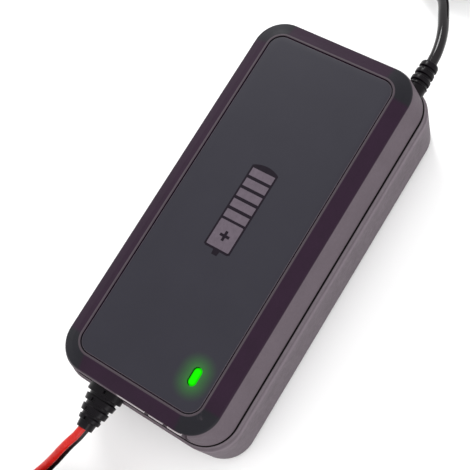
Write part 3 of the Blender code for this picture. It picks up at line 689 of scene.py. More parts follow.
def panel_lacquer(colours):
    """A flat slate lacquer with a painted highlight along its edge, that catches the lamp's green glow round
    its window.
    """
    finish = Finish("panel_lacquer", colours.panel, 0.42, fixed={"Specular IOR Level": 0.12})
    finish.mottle(25.0, 0.035)
    finish.mottle(0.5, 0.03)
    finish.uneven(8.0, 0.04)
    finish.relief(finish.noise(0.35, 3.0), 0.006)
    # Painted highlight along the panel's eased edge.
    rim = finish.ranged(finish.axis("Z"), PANEL_Z - 0.01, PANEL_Z - 0.05, 0.0, 0.8)
    finish.tint(rim, (0.085, 0.07, 0.085))
    from_rim = distance_from_lamp(finish)
    glow = finish.maths("POWER", finish.ranged(from_rim, 0.0, GLOW_REACH, 1.0, 0.0), 1.6)
    finish.tint(finish.maths("MULTIPLY", glow, 0.6), (0.024, 0.05, 0.02))
    finish.shader.inputs["Emission Color"].default_value = (0.0, 1.0, 0.0, 1.0)
    finish.tree.links.new(finish.maths("MULTIPLY", glow, 0.11), finish.shader.inputs["Emission Strength"])
    return finish.done()


def printed_ink(name, colour):
    """Matt screen-printed ink, a little uneven where the squeegee passed."""
    finish = Finish(name, colour, 0.55, fixed={"Specular IOR Level": 0.1})
    finish.mottle(2.6, 0.09)
    finish.mottle(0.4, 0.06, 3.0, (1.0, 0.25, 1.0))
    finish.uneven(1.5, 0.06)
    finish.relief(finish.noise(0.3, 3.0), 0.004)
    return finish.done()


def lamp_lens(colours):
    """A diffusing lens lit from behind, brightest over its lamp and dimmer towards its rim."""
    finish = Finish("lamp_lens", (0.002, 0.12, 0.001), 0.45, fixed={"Specular IOR Level": 0.0})
    finish.shader.inputs["Emission Color"].default_value = (*colours.lamp, 1.0)
    strength = finish.maths("MULTIPLY", finish.ranged(distance_from_lamp(finish), -1.1, -0.1, 1.0, 0.7),
                            finish.ranged(finish.noise(1.5), 0.3, 0.7, 0.97, 1.03))
    finish.tree.links.new(strength, finish.shader.inputs["Emission Strength"])
    finish.relief(finish.noise(0.8, 2.0), 0.01)
    return finish.done()


def cord_jacket(name, colour, roughness):
    """Glossy cord insulation with faint drawing marks and scuffs."""
    finish = Finish(name, colour, roughness, fixed={"Specular IOR Level": 0.2})
    finish.mottle(7.0, 0.08)
    finish.mottle(0.5, 0.06)
    finish.uneven(3.0, 0.04)
    finish.relief(finish.noise(0.9, 2.0), 0.008)
    return finish.done()


def rubber(name, colour, roughness):
    finish = moulded(name, colour, roughness, 0.4, 0.02, 0.1, {"Specular IOR Level": 0.11})
    finish.worn((0.03, 0.027, 0.03), 0.35)
    return finish.done()


def woven_strap():
    """A woven strap with crossing yarns and a fuzzy face."""
    sheen = {"Sheen Weight": 0.4, "Sheen Roughness": 0.5}
    finish = Finish("woven_strap", (0.016, 0.016, 0.018), 0.85, fixed=sheen)
    weave = finish.maths("MULTIPLY",
                         finish.maths("SINE", finish.maths("MULTIPLY", finish.axis("X"), 5.5)),
                         finish.maths("SINE", finish.maths("MULTIPLY", finish.axis("Z"), 5.5)))
    finish.mottle(0.35, 0.35)
    finish.uneven(0.8, 0.08)
    finish.relief(finish.ranged(weave, -1.0, 1.0), 0.12)
    finish.relief(finish.noise(0.25, 4.0), 0.06)
    return finish.done()


def board_mask():
    """Green board lacquer over copper tracks, with tinned pads."""
    finish = Finish("board_lacquer", (0.012, 0.13, 0.045), 0.35)
    finish.mottle(5.0, 0.1)
    tracks = finish.ranged(finish.cells(6.5, "DISTANCE_TO_EDGE"), 0.06, 0.1, 1.0, 0.0)
    finish.tint(finish.maths("MULTIPLY", tracks, 0.75), (0.03, 0.3, 0.08))
    pads = finish.ranged(finish.cells(4.2), 0.2, 0.24, 1.0, 0.0)
    finish.tint(pads, (0.6, 0.6, 0.58))
    finish.uneven(2.0, 0.08)
    finish.relief(tracks, 0.04)
    finish.relief(pads, 0.08)
    return finish.done()


def wound_tape():
    """Yellow winding tape in overlapping laps."""
    finish = Finish("winding_tape", (0.72, 0.5, 0.05), 0.42)
    lap = finish.maths("FRACT", finish.maths("DIVIDE", finish.axis("Z"), 4.0))
    finish.tint(finish.ranged(lap, 0.0, 0.08, 0.5, 0.0), (0.3, 0.18, 0.02))
    finish.mottle(3.0, 0.1)
    finish.uneven(1.5, 0.08)
    finish.relief(lap, 0.08)
    return finish.done()


def copper_turns():
    """Enamelled wire laid side by side round the choke's ring."""
    finish = Finish("copper_turns", (0.72, 0.28, 0.1), 0.3, 0.85)
    radial = finish.stretched((1.0, 1.0, 1.0), tuple(middle("input_choke")))
    angle = finish.put("ShaderNodeTexGradient", {"gradient_type": "RADIAL"}, {"Vector": radial}).outputs[1]
    wires = finish.maths("ABSOLUTE", finish.maths("SINE", finish.maths("MULTIPLY", angle, math.pi * 44)))
    # Painted shade in the hollows between the turns.
    finish.tint(finish.ranged(wires, 0.0, 0.35, 0.8, 0.0), (0.1, 0.03, 0.01))
    finish.mottle(1.2, 0.12)
    finish.uneven(1.0, 0.08)
    finish.relief(wires, 0.3)
    return finish.done()


def capacitor_sleeve():
    """Blue shrink sleeve with a pale stripe, under a bare aluminium top."""
    finish = Finish("capacitor_sleeve", (0.012, 0.02, 0.09), 0.3)
    facing = finish.put("ShaderNodeSeparateXYZ",
                        inputs={0: finish.put("ShaderNodeNewGeometry").outputs["Normal"]}).outputs
    finish.tint(finish.ranged(facing["X"], -0.92, -0.9, 1.0, 0.0), (0.5, 0.5, 0.52))
    finish.tint(finish.ranged(facing["Z"], 0.9, 0.95), (0.7, 0.7, 0.72))
    finish.mottle(2.0, 0.07)
    finish.uneven(2.0, 0.08)
    finish.relief(finish.noise(1.2), 0.02)
    return finish.done()


# ---------------------------------------------------------------- studio

CAMERA_AIM = (0.0044, -0.0057)
FLOOR_HALF = 6.0


def make_camera(studio):
    aim = Vector((*CAMERA_AIM, TOP_Z * MM))
    turned_about = Matrix.Rotation(studio.azimuth, 3, "Z") @ Matrix.Rotation(-studio.elevation, 3, "X")
    back = turned_about @ Vector((0.0, -1.0, 0.0))
    camera = bpy.data.objects.new("Camera", bpy.data.cameras.new("Camera"))
    camera.data.sensor_width = 36.0
    camera.data.lens = studio.focal_length
    camera.data.clip_start = 0.01
    camera.data.clip_end = 20.0
    turn = (-back).to_track_quat("-Z", "Y").to_matrix() @ Matrix.Rotation(-studio.roll, 3, "Z")
    camera.matrix_world = Matrix.Translation(aim + back * studio.distance) @ turn.to_4x4()
    bpy.context.scene.collection.objects.link(camera)
    bpy.context.scene.camera = camera


def make_softbox(name, place, size, power, aim=(0.0, 0.0, 0.03)):
    lamp = bpy.data.lights.new(name, "AREA")
    lamp.shape = "RECTANGLE"
    lamp.size, lamp.size_y = size
    lamp.energy = power
    obj = bpy.data.objects.new(name, lamp)
    obj.matrix_world = (Matrix.Translation(place)
                        @ (Vector(aim) - Vector(place)).to_track_quat("-Z", "Y").to_matrix().to_4x4())
    bpy.context.scene.collection.objects.link(obj)


def floor_paint(colour):
    """A pale painted floor, very slightly cloudy."""
    finish = Finish("floor_paint", colour, 0.75, fixed={"Specular IOR Level": 0.15})
    finish.mottle(60.0, 0.006)
    finish.uneven(30.0, 0.04)
    return finish.done()


def make_stage(studio):
    scene = bpy.context.scene
    scene.view_settings.view_transform = "Standard"
    world = bpy.data.worlds.new("Studio")
    world.use_nodes = True
    world.node_tree.nodes["Background"].inputs["Color"].default_value = (1.0, 1.0, 1.0, 1.0)
    world.node_tree.nodes["Background"].inputs["Strength"].default_value = 1.4
    scene.world = world
    mesh = bpy.data.meshes.new("floor")
    corners = [(x * FLOOR_HALF, y * FLOOR_HALF, 0) for x, y in ((-1, -1), (1, -1), (1, 1), (-1, 1))]
    mesh.from_pydata(corners, [], [(0, 1, 2, 3)])
    mesh.materials.append(floor_paint(studio.floor))
    floor = bpy.data.objects.new("floor", mesh)
    scene.collection.objects.link(floor)
    make_softbox("Key lamp", (-0.68, 0.8, 0.87), (0.35, 0.35), 9.0, (0.0, 0.08, 0.03))
    make_softbox("Side softbox", (0.9, -0.45, 0.35), (0.5, 0.4), 2.5)


# ---------------------------------------------------------------- cords

def smooth_line(points, spacing):
    """Points no further apart than the spacing, on a smooth curve through the given ones."""
    points = [Vector(point) for point in points]
    steps = [(b - a).length for a, b in zip(points, points[1:])]
    slopes = [(points[1] - points[0]) / steps[0]]
    for (a, b, c), into, out in zip(zip(points, points[1:], points[2:]), steps, steps[1:]):
        slopes.append(((b - a) / into * out + (c - b) / out * into) / (into + out))
    slopes.append((points[-1] - points[-2]) / steps[-1])
    line = [points[0]]
    for a, b, leave, reach, step in zip(points, points[1:], slopes, slopes[1:], steps):
        count = max(1, math.ceil(step / spacing))
        for i in range(1, count + 1):
            t = i / count
            line.append(a * (2 * t**3 - 3 * t**2 + 1) + leave * step * (t**3 - 2 * t**2 + t)
                        + b * (3 * t**2 - 2 * t**3) + reach * step * (t**3 - t**2))
    return line


def ease(t):
    t = max(0.0, min(1.0, t))
    return t * t * (3 - 2 * t)


def wound(node, winding, diameter, start, finish):
    """Turns laid in layers in a CAD coil's place, from the end of the run to the start of the tail."""
    low, high = (corner * MM for corner in span(node))
    centre = Vector(((low.x + high.x) / 2, (low.y + high.y) / 2, 0.0))
    floor = low.z + diameter / 2
    pitch = (high.z - low.z - diameter) / (winding["layers"] - 0.96)
    outer, inner = (radius * MM for radius in winding["radii"])
    first, last = (Vector(point) - centre for point in (start, finish))
    turning = winding["turning"]
    begin = math.atan2(first.y, first.x)
    rest = (turning * (math.atan2(last.y, last.x) - begin)) % (2 * math.pi)
    if rest > math.pi:
        rest -= 2 * math.pi
    sweep = rest + 2 * math.pi * winding["whole_turns"]
    count = round(sweep / math.radians(10))
    climb = 0.11
    entry = 0.16 * 2 * math.pi / sweep
    turns = []
    for i in range(1, count):
        share = i / count
        angle = begin + turning * sweep * share
        layer = min(int(share * winding["layers"]), winding["layers"] - 1)
        within = share * winding["layers"] - layer
        travel = min(1.0, within / (1 - climb))
        if layer % 2:
            travel = 1.0 - travel
        radius = outer + (inner - outer) * travel
        rise = ease((within - 1 + climb) / climb) if layer < winding["layers"] - 1 else 0.0
        height = floor + pitch * (layer + rise)
        from_start = 1 - ease(share / entry)
        from_end = 1 - ease((1 - share) / entry)
        for near, end in ((from_start, first), (from_end, last)):
            radius += near * (end.xy.length - radius)
            height += near * (end.z - height)
        turns.append(centre + Vector((radius * math.cos(angle), radius * math.sin(angle), height)))
    return turns


def make_cord(name, stem, run, tail, winding, diameter, finish):
    """A cord as one smooth round curve: a short start inside its boot, the run, the coil and the tail."""
    at = Vector((0.0, HOUSING_Y * MM, 0.0))
    run, tail = ([Vector(point) + at for point in part] for part in (run, tail))
    inside = run[0] + (run[0] - run[1]).normalized() * diameter * 0.8
    coil = wound(f"{stem}_coil", winding, diameter, run[-1], tail[0])
    line = smooth_line([inside, *run, *coil, *tail], diameter * 0.4)
    curve = bpy.data.curves.new(name, "CURVE")
    curve.dimensions = "3D"
    curve.bevel_depth = diameter / 2
    curve.bevel_resolution = 6
    curve.use_fill_caps = True
    spline = curve.splines.new("POLY")
    spline.points.add(len(line) - 1)
    for point, place in zip(spline.points, line):
        point.co = (*place, 1.0)
    spline.use_smooth = True
    curve.materials.append(finish)
    obj = bpy.data.objects.new(name, curve)
    bpy.context.scene.collection.objects.link(obj)
    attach(obj, "charger")
    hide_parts(*(f"{stem}_{part}" for part in ("run", "coil", "tail")))
    return obj


# ---------------------------------------------------------------- housing

def ring(station):
    """A ring of the housing from half width, half length, corner radius and height."""
    half_x, half_y, radius, z = station
    return [(x, y + HOUSING_Y, z) for x, y, z in rounded_rect(half_x, half_y, max(radius, 0.6), z)]


def inset(outline, by, z):
    half_x, half_y, radius = outline
    return (half_x - by, half_y - by, radius - by, z)


def lamp_ring(wider, z):
    """The lamp's outline, grown by that much."""
    half_x = LAMP_HALF_WIDTH + wider
    loop = rounded_rect(half_x, LAMP_HALF_LENGTH + wider, half_x - 0.01, z)
    return [(x + LAMP_AT.x, y + LAMP_AT.y, z) for x, y, z in loop]


def lamp_hole():
    return mesh_of(loft([lamp_ring(LAMP_GAP, z) for z in (44.0, 60.0)]))


def boot_bores():
    """Openings for the two boots, through whichever end wall they meet."""
    mains = along_y(turned([(MAINS_BORE, 80.0), (MAINS_BORE, 112.0)]))
    battery = loft([ellipse(*LEAD_BORE, y) for y in (-80.0, -112.0)])
    both = merged(moved(mains, AC_X, HOUSING_Y, RELIEF_Z), moved(battery, DC_X, HOUSING_Y, RELIEF_Z))
    return mesh_of(both)


def vent_slots(finish):
    """Upright slots: a few beside the battery leads and a row across the mains end."""
    rows = row_pattern("Vent slots")
    wall_y = COVER_EDGE[1]
    near = rows.grown(finish, Count=3, First=(11.6, HOUSING_Y - wall_y, SEAM_Z + 9.1), Step=(10.1, 0.0, 0.0),
                      Size=(2.6, SLOT_DEPTH, 8.8))
    far = rows.grown(finish, Count=9, First=(-26.9, HOUSING_Y + wall_y, SEAM_Z + 6.9), Step=(5.1, 0.0, 0.0),
                     Size=(2.4, SLOT_DEPTH, 8.6))
    return near, far


def make_cover(finish):
    """The upper shell: grained walls, a sloping band, a ridge round the panel's recess."""
    outer = [
        (SEAM[0] - 0.6, SEAM[1] - 0.3, SEAM[2] - 0.6, SEAM_Z + 0.15),
        (COVER_EDGE[0] + 0.85, COVER_EDGE[1] + 0.75, COVER_EDGE[2] + 0.4, EDGE_Z - 2.2),
        (COVER_EDGE[0] + 0.35, COVER_EDGE[1] + 0.12, COVER_EDGE[2] + 0.2, EDGE_Z - 0.6),
        inset(COVER_EDGE, 0.3, EDGE_Z + 0.15),
        inset(COVER_EDGE, 4.2, EDGE_Z + 1.85),
        inset(RIDGE, -0.55, TOP_Z - 0.28),
        inset(RIDGE, -0.25, TOP_Z),
        inset(RIDGE, 0.45, TOP_Z),
        inset(RIDGE, 0.6, TOP_Z - 1.1),
    ]
    inner = [
        inset(RIDGE, 1.5, TOP_Z - 3.3),
        inset(COVER_EDGE, WALL, EDGE_Z - 2.6),
        inset(SEAM, WALL, SEAM_Z + 0.15),
    ]
    walls = [*inner, *softened(outer, 0.45, 4)]
    mesh = mesh_of(loft([ring(station) for station in walls]))
    mesh = carved(mesh, lamp_hole())
    mesh = carved(mesh, boot_bores())
    for slots in vent_slots(finish):
        mesh = carved(mesh, slots)
    for place in BOSSES:
        post = moved(turned([(POST_RADIUS, 24.0), (POST_RADIUS, 48.5)], 24), place.x, place.y)
        mesh = carved(mesh, mesh_of(post), "UNION")
    piece("cover_shell", mesh, finish, replaces=("top_cover",))


def make_base(finish):
    """The lower shell, with a rounded foot, a slightly crowned wall and a lip at the parting line."""
    bottom = FOOT_HEIGHT
    lip = (SEAM[0] - WALL - 0.3, SEAM[1] - WALL - 0.3, SEAM[2] - WALL - 0.3)
    outer = [
        inset(BASE, 3.2, bottom),
        inset(BASE, 1.5, bottom + 0.5),
        inset(BASE, 0.7, bottom + 1.9),
        inset(BASE, 0.0, SEAM_Z - 5.2),
        inset(BASE, 0.15, SEAM_Z - 4.2),
        inset(BASE, 0.5, SEAM_Z - 3.6),
        inset(SEAM, -0.55, SEAM_Z - 2.9),
        inset(SEAM, -0.5, SEAM_Z - 0.6),
        inset(SEAM, -0.3, SEAM_Z - 0.2),
        inset(SEAM, -0.12, SEAM_Z - 0.2),
        inset(SEAM, -0.08, SEAM_Z - 1.4),
        inset(SEAM, 0.8, SEAM_Z - 1.4),
        inset(SEAM, 0.9, SEAM_Z - 0.15),
        (*lip, SEAM_Z - 0.15),
        (lip[0] - 1.1, lip[1] - 0.3, lip[2], SEAM_Z + 2.2),
        (lip[0] - 2.2, lip[1] - 1.4, lip[2] - 1.1, SEAM_Z + 2.2),
    ]
    inner = [
        inset(BASE, WALL + 2.6, SEAM_Z - 2.5),
        inset(BASE, WALL + 1.5, SEAM_Z - 6.0),
        inset(BASE, WALL + 2.6, bottom + 2.5),
    ]
    mesh = mesh_of(loft([ring(station) for station in [*softened(outer, 0.3, 3), *inner]]))
    for place in BOSSES:
        column = moved(turned([(COLUMN_RADIUS, bottom + 1.2), (COLUMN_RADIUS, 23.6)], 24), place.x, place.y)
        mesh = carved(mesh, mesh_of(column), "UNION")
        sink = [(3.6, -1.0), (3.6, bottom + 2.4), (1.9, bottom + 2.5), (1.9, 30.0)]
        mesh = carved(mesh, mesh_of(moved(turned(sink, 32), place.x, place.y)))
    mesh = carved(mesh, boot_bores())
    for place in FEET:
        pocket = moved(turned([(5.5, -1.0), (5.5, bottom + 0.6)]), place.x, place.y)
        mesh = carved(mesh, mesh_of(pocket))
    piece("base_tub", mesh, finish, replaces=("base_shell",))


def make_panel(finish):
    """The inset plate, with an eased edge and a window for the lamp."""
    outline = (RIDGE[0] - 1.0, RIDGE[1] - 1.0, RIDGE[2] - 0.9)
    stations = [inset(outline, 0.0, PANEL_Z - 0.58), inset(outline, 0.0, PANEL_Z - 0.25),
                inset(outline, 0.3, PANEL_Z), inset(outline, 3.0, PANEL_Z)]
    mesh = mesh_of(loft([ring(station) for station in softened(stations, 0.2, 3)]))
    piece("panel_face", carved(mesh, lamp_hole()), finish, replaces=("panel_plate",))


def make_battery_sign(dark, pale):
    """A printed battery: a dark ground with its cap and terminal, pale charge cells and a plus."""
    centre_x, half, rim = 0.3, 6.05, 0.95
    film = 0.04
    ground_half = half + rim
    reach = math.radians(34)
    cap = []
    for degrees in range(34, -35, -4):
        angle = math.radians(degrees)
        rise = (math.cos(angle) - math.cos(reach)) / (1 - math.cos(reach))
        cap.append((centre_x + ground_half * math.sin(angle) / math.sin(reach), 24.3 + 1.9 * rise))
    foot = [(-ground_half, 24.3), (-ground_half, -18.3), (0.1 - half, -19.0), (-1.4, -19.0), (-1.1, -21.3),
            (1.7, -21.3), (2.0, -19.0), (half - 0.1, -19.0), (ground_half, -18.3)]
    ground = [*((centre_x + x, y) for x, y in foot), *cap]
    ground_shape = prism([(x, y + HOUSING_Y) for x, y in ground], PANEL_Z - 0.02, PANEL_Z + film)
    piece("battery_sign_ground", mesh_of(ground_shape), dark)
    cells = row_pattern("Charge cells").grown(
        pale, Count=5, First=(centre_x, 21.18 + HOUSING_Y, PANEL_Z + film * 1.5), Step=(0.0, -5.6, 0.0),
        Size=(2 * half, 4.05, film))
    piece("battery_sign_cells", cells, pale)
    plate = loft([[(x + centre_x, y - 11.2 + HOUSING_Y, z) for x, y, z in rounded_rect(half, 6.7, 0.5, z, 4)]
                  for z in (PANEL_Z + film, PANEL_Z + 2 * film)])
    piece("battery_sign_plate", mesh_of(plate), pale)
    arm, half_stroke = 2.5, 0.68
    plus = merged(box((2 * arm, 2 * half_stroke, film), (centre_x, -11.4 + HOUSING_Y, PANEL_Z + 2.5 * film)),
                  box((2 * half_stroke, 2 * arm, film), (centre_x, -11.4 + HOUSING_Y, PANEL_Z + 2.6 * film)))
    piece("battery_sign_plus", mesh_of(plus), dark)


def make_lamp(finish):
    """The lamp's domed window, standing in its hole with a flange below."""
    widths = ((1.2, 46.4), (1.2, 48.8), (0.0, 48.9), (0.0, LENS_Z - 0.5), (-0.7, LENS_Z))
    stations = [(wider, wider, z) for wider, z in widths]
    loops = [lamp_ring(wider, z) for wider, _, z in softened(stations, 0.5, 4)]
    piece("lamp_window", mesh_of(loft(loops)), finish, replaces=("led_lens",))


# ---------------------------------------------------------------- boots, feet and screws

def make_mains_boot(finish):
    """A grooved rubber boot on the mains cord, tapered to its tip."""
    stations = [(5.4, 84.0), (5.4, 85.6), (4.7, 85.7), (4.7, 97.9), (5.0, 98.0)]
    for groove in range(3):
        start = 98.6 + 3.9 * groove
        radius = 5.0 - 0.16 * groove
        stations += [(radius, start - 0.1), (radius - 1.1, start + 0.1), (radius - 1.1, start + 1.4),
                     (radius - 0.1, start + 1.6)]
    stations += [(4.4, 110.2), (4.0, 111.0), (3.0, 111.3)]
    shape = along_y(turned(softened(stations, 0.35, 3)))
    piece("mains_boot", mesh_of(moved(shape, AC_X, HOUSING_Y, RELIEF_Z)), finish,
          replaces=("ac_strain_relief",))


def make_lead_boot(finish):
    """A stepped oval boot round both battery leads, notched along its top so that it can bend."""
    stations = [(11.4, 9.0, -90.4), (11.4, 9.0, -92.6), (9.1, 6.9, -92.7), (9.1, 6.9, -100.6),
                (8.8, 6.7, -100.9), (6.9, 5.9, -101.0), (6.9, 5.9, -102.3), (8.1, 6.4, -102.4),
                (7.6, 6.2, -105.3), (6.0, 5.5, -105.4), (6.0, 5.5, -107.0), (7.0, 6.0, -107.1),
                (6.4, 5.8, -110.2), (4.9, 5.1, -110.3), (4.9, 5.1, -111.6), (5.6, 5.5, -111.7),
                (5.2, 5.3, -113.8), (4.2, 4.9, -113.9), (3.8, 4.6, -117.4)]
    boot = loft([ellipse(half_x, half_z, y) for half_x, half_z, y in softened(stations, 0.3, 3)])
    mesh = mesh_of(moved(boot, DC_X, HOUSING_Y, RELIEF_Z))
    notches = [(2.6, -98.6, 6.9), (-1.0, -104.0, 6.4), (-1.6, -108.9, 6.0), (0.4, -112.9, 5.5)]
    for x, y, height in notches:
        notch = box((2.2, 1.5, 2.2), (DC_X + x, HOUSING_Y + y, RELIEF_Z + height))
        mesh = carved(mesh, mesh_of(notch))
    piece("lead_boot", mesh, finish, replaces=("dc_strain_relief",))


def make_fixings(rubber_finish, steel):
    places = [(place.x, place.y, FOOT_HEIGHT + 1.4) for place in BOSSES]
    screws = screw_pattern().grown(steel, places, Head_Radius=3.2, Head_Height=1.4, Shank_Radius=1.5,
                                   Shank=30.0)
    piece("case_screws", screws, steel, replaces=SCREW_NODES)
    places = [(place.x, place.y, 0.0) for place in FEET]
    feet = foot_pattern().grown(rubber_finish, places, Radius=5.0, Height=FOOT_HEIGHT)
    piece("rubber_feet", feet, rubber_finish, replaces=FOOT_NODES)


# ---------------------------------------------------------------- plug, straps and clips

def plug_place():
    """Where the plug's cord end is, and the turn of the plug on the ground."""
    at = Vector(PLUG_AT) + Vector((0.0, HOUSING_Y, 0.0))
    return Matrix.Translation(at) @ Matrix.Rotation(PLUG_TURN, 4, "Z")


def make_plug(finish, brass, sleeve):
    """A flat two-pin plug: a ribbed neck, a swelling body, and pins in insulating sleeves."""
    sections = [(3.6, 3.6, 0.0), (4.0, 4.0, 2.0), (4.2, 4.2, 6.0), (7.0, 5.6, 12.0), (12.6, 6.4, 17.0),
                (17.0, 7.0, 24.0), (17.0, 7.0, 36.0), (16.0, 6.0, 37.0)]
    loops = []
    for half_x, half_z, y in softened(sections, 2.2, 5):
        loop = rounded_rect(half_x, half_z, min(half_x, half_z) * 0.96, 0.0, 8)
        loops.append([(x, y, -z) for x, z, _ in loop])
    body = mesh_of(loft(loops))
    body.transform(plug_place())
    moulding = piece("plug_moulding", body, finish, replaces=("plug_body",))
    ribs = rib_pattern()
    made = [moulding]
    for side in (-1, 1):
        bars = ribs.grown(finish, Count=6, First=(side * 16.9, 23.5, 0.0), Step=(0.0, 2.2, 0.0), Radius=0.45,
                          Length=7.0)
        bars.transform(plug_place())
        name = "left" if side < 0 else "right"
        made.append(piece(f"plug_ribs_{name}", bars, finish))
        shape = along_y(turned(softened([(2.05, 36.6), (2.05, 45.0), (1.9, 45.2)], 0.2), 32))
        tube = mesh_of(moved(shape, side * PIN_ASIDE))
        tube.transform(plug_place())
        made.append(piece(f"pin_sleeve_{name}", tube, sleeve))
    for number in (1, 2):
        pin = refined(f"plug_pin_finished_{number}", f"plug_pin_{number}", brass, 0.35, 3)
        made.append(pin)
    return made


def make_strap(name, node, coils, depth, angle):
    """A strap round a section of coils of that depth, its end lapped over itself on the outside."""
    lows, highs = zip(*(span(coil) for coil in coils))
    centre = middle(coils[0])
    outer_radius = highs[0].x - centre.x
    inner_radius = outer_radius - depth
    half = STRAP_WIDTH / 2
    near = math.sqrt(inner_radius**2 - half**2) - 0.5
    far = outer_radius + 0.4
    height = max(high.z for high in highs) + 0.4
    loops = []
    for out, side in ((0.0, -half), (1.0, -half), (1.0, half), (0.0, half)):
        low_x, high_x = near - out, far + out
        low_z, high_z = 0.35 - 0.33 * out, height + out
        corner = 1.6 + out
        path = rounded_rect((high_x - low_x) / 2, (high_z - low_z) / 2, corner, 0.0, 5)
        mid_x, mid_z = (low_x + high_x) / 2, (low_z + high_z) / 2
        loops.append([(x + mid_x, side, z + mid_z) for x, z, _ in path])
    strap = loft(loops, closed=True)
    lap = box((1.0, STRAP_WIDTH, height * 0.55), (far + 1.3, 0.0, height * 0.5))
    bmesh.ops.bevel(lap, geom=lap.edges, offset=0.35, segments=2, affect="EDGES")
    mesh = mesh_of(merged(strap, lap))
    mesh.transform(Matrix.Translation((centre.x, centre.y, 0.0)) @ Matrix.Rotation(angle, 4, "Z"))
    return piece(name, mesh, woven_strap(), replaces=(node,))


def clip_place(colour):
    """The clip's pivot, with +X towards the jaw's tip, +Y opening the jaw and +Z up."""
    pivot = middle(f"{colour}_clip_pivot")
    return Matrix.Translation(pivot) @ Matrix.Rotation(math.radians(-90.0), 4, "Z")


def make_clip(colour, grip_finish, steel, springs, ribs):
    """A battery clip: plated jaws, ribbed vinyl grips, a riveted pivot and its spring."""
    moving = f"{colour}_clip_jaw"
    made = []
    for level, body in (("lower", "charger"), ("upper", moving)):
        jaw, grip = (f"{colour}_clip_{level}_{part}" for part in ("jaw", "grip"))
        made.append(refined(f"{colour}_{level}_jaw_plated", jaw, steel, 0.22, 2, body))
        made.append(refined(f"{colour}_{level}_grip_moulded", grip, grip_finish, 0.9, 4, body))
        low, high = span(grip)
        aside = 1 if level == "upper" else -1
        bars = ribs.grown(grip_finish, Count=7, First=(-27.0, aside * 16.0, 0.0),
                          Step=(2.1, aside * -0.45, 0.0), Radius=0.55, Length=(high.z - low.z) * 0.8)
        bars.transform(clip_place(colour))
        made.append(piece(f"{colour}_{level}_grip_ribs", bars, grip_finish, body))
    made.append(refined(f"{colour}_pivot_riveted", f"{colour}_clip_pivot", steel, 0.3, 3))
    coil = springs.grown(steel, Turns=3.5, Radius=2.9, Height=5.2, Wire=0.45)
    coil.transform(clip_place(colour) @ Matrix.Translation((0.0, 0.0, -2.6)))
    made.append(piece(f"{colour}_spring_wound", coil, steel,
                      replaces=(f"{colour}_clip_spring",)))
    return made


# ---------------------------------------------------------------- electronics

def finish_electronics():
    """Materials for the parts inside the housing, which keep their CAD shapes."""
    ferrite = moulded("ferrite_core", (0.03, 0.03, 0.034), 0.55, 0.3, 0.03, 0.12).done()
    epoxy = moulded("moulded_epoxy", (0.014, 0.014, 0.016), 0.5, 0.2, 0.01, 0.08).done()
    aluminium = metal("brushed_aluminium", (0.72, 0.73, 0.75), 0.36, (1.0, 1.0, 0.05))
    board = board_mask()
    sleeve = capacitor_sleeve()
    tape = wound_tape()
    diode = moulded("lamp_diode", (0.05, 0.7, 0.08), 0.15, 0.5, 0.004, 0.04).done()
    ceramic = moulded("glazed_ceramic", (0.72, 0.71, 0.65), 0.3, 0.4, 0.01, 0.05).done()
    chosen = {
        "led_diode": diode, "indicator_board": board, "circuit_board": board, "transformer_core": ferrite,
        "transformer_winding": tape, "bulk_capacitor": sleeve, "output_capacitor_1": sleeve,
        "output_capacitor_2": sleeve, "input_fuse": ceramic, "input_choke": copper_turns(),
        "filter_capacitor": tape, "bridge_rectifier": epoxy, "primary_heatsink": aluminium,
        "output_heatsink": aluminium, "switching_transistor": epoxy, "output_rectifier": epoxy,
    }
    for node, finish in chosen.items():
        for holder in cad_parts[node].material_slots:
            holder.material = finish


# ---------------------------------------------------------------- operators

class BuildStudio(bpy.types.Operator):
    """Make the camera, the soft lights and the pale floor"""
    bl_idname = "charger.studio"
    bl_label = "Studio"

    def execute(self, context):
        studio = context.scene.charger_studio
        make_camera(studio)
        make_stage(studio)
        return {"FINISHED"}


class BuildMainsCord(bpy.types.Operator):
    """Make the mains cord, its coil strap and its plug"""
    bl_idname = "charger.mains_cord"
    bl_label = "Mains cord and plug"

    def execute(self, context):
        cords, colours = context.scene.charger_cords, context.scene.charger_colours
        jacket = cord_jacket("mains_jacket", (0.005, 0.004, 0.005), 0.1)
        cord = make_cord("mains_cord", "ac_cord", AC_RUN, AC_TAIL, AC_WINDING, cords.mains_diameter, jacket)
        brass = metal("plug_brass", (0.78, 0.6, 0.3), 0.28, (1.0, 0.1, 1.0))
        sleeve = moulded("pin_sleeve", colours.black, 0.4, 0.3, 0.006).done()
        plug = make_plug(rubber("plug_rubber", (0.016, 0.015, 0.017), 0.45), brass, sleeve)
        strap = make_strap("mains_strap", "ac_coil_tie", ["ac_cord_coil"], 15.52, math.radians(20))
        return {"FINISHED"}


class BuildBatteryLeads(bpy.types.Operator):
    """Make the red and black leads, their strap and their clips"""
    bl_idname = "charger.battery_leads"
    bl_label = "Battery leads and clips"

    def execute(self, context):
        cords, colours = context.scene.charger_cords, context.scene.charger_colours
        steel = metal("plated_steel", (0.62, 0.61, 0.6), 0.3, (0.2, 1.0, 1.0), (0.82, 0.8, 0.76))
        springs, ribs = spring_pattern(), rib_pattern()
        strap = make_strap("lead_strap", "dc_coil_tie", ["black_lead_coil", "red_lead_coil"], 11.8,
                           math.radians(10))
        routes = {"red": (RED_RUN, RED_TAIL, colours.red, "red"),
                  "black": (BLACK_RUN, BLACK_TAIL, colours.black, "rubber")}
        for colour, (run, tail, shade, slot) in routes.items():
            name = f"{colour}_lead"
            jacket = cord_jacket(f"{colour}_jacket", shade, 0.28)
            lead = make_cord(name, name, run, tail, LEAD_WINDING, cords.lead_diameter, jacket)
            vinyl = rubber(f"{colour}_grip_vinyl", shade, 0.42)
            clip = make_clip(colour, vinyl, steel, springs, ribs)
        return {"FINISHED"}


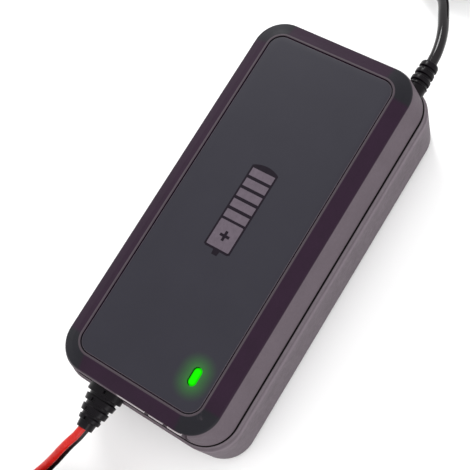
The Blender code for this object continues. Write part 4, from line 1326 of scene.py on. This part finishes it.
class BuildHousing(bpy.types.Operator):
    """Make the cover and the base of the housing"""
    bl_idname = "charger.housing"
    bl_label = "Housing"

    def execute(self, context):
        colours = context.scene.charger_colours
        make_cover(cover_plastic(colours))
        make_base(base_plastic(colours))
        return {"FINISHED"}


class BuildPanel(bpy.types.Operator):
    """Make the panel with its printed battery sign and its lamp"""
    bl_idname = "charger.panel"
    bl_label = "Panel and lamp"

    def execute(self, context):
        colours = context.scene.charger_colours
        make_panel(panel_lacquer(colours))
        dark = printed_ink("dark_ink", (0.0045, 0.002, 0.006))
        make_battery_sign(dark, printed_ink("pale_ink", (0.085, 0.068, 0.085)))
        make_lamp(lamp_lens(colours))
        return {"FINISHED"}


class BuildFixings(bpy.types.Operator):
    """Make the two boots, the rubber feet and the case screws"""
    bl_idname = "charger.fixings"
    bl_label = "Boots, feet and screws"

    def execute(self, context):
        boot = rubber("boot_rubber", (0.0016, 0.0006, 0.0019), 0.3)
        make_mains_boot(boot)
        make_lead_boot(boot)
        steel = metal("screw_steel", (0.55, 0.55, 0.56), 0.35)
        make_fixings(rubber("foot_rubber", (0.02, 0.02, 0.021), 0.7), steel)
        return {"FINISHED"}


class BuildElectronics(bpy.types.Operator):
    """Finish the circuit board and the parts on it"""
    bl_idname = "charger.electronics"
    bl_label = "Electronics"

    def execute(self, context):
        finish_electronics()
        return {"FINISHED"}


STEPS = (BuildStudio, BuildMainsCord, BuildBatteryLeads, BuildHousing, BuildPanel, BuildFixings,
         BuildElectronics)
SETTINGS = {"charger_colours": ChargerColours, "charger_cords": ChargerCords,
            "charger_studio": ChargerStudio}


class ChargerPanel(bpy.types.Panel):
    """Lists the steps that build the charger, and their settings"""
    bl_idname = "VIEW3D_PT_charger"
    bl_label = "Battery charger"
    bl_space_type = "VIEW_3D"
    bl_region_type = "UI"
    bl_category = "Charger"

    def draw(self, context):
        for step in STEPS:
            self.layout.operator(step.bl_idname)
        for label, group in SETTINGS.items():
            holder = self.layout.box()
            for name in group.__annotations__:
                holder.prop(getattr(context.scene, label), name)


def register():
    for group in (*SETTINGS.values(), *STEPS, ChargerPanel):
        bpy.utils.register_class(group)
    for label, group in SETTINGS.items():
        setattr(bpy.types.Scene, label, bpy.props.PointerProperty(type=group))


def unregister():
    for label in SETTINGS:
        delattr(bpy.types.Scene, label)
    for group in reversed((*SETTINGS.values(), *STEPS, ChargerPanel)):
        bpy.utils.unregister_class(group)


def main():
    register()
    for step in STEPS:
        group, name = step.bl_idname.split(".")
        getattr(getattr(bpy.ops, group), name)()


if __name__ == "__main__":
    main()
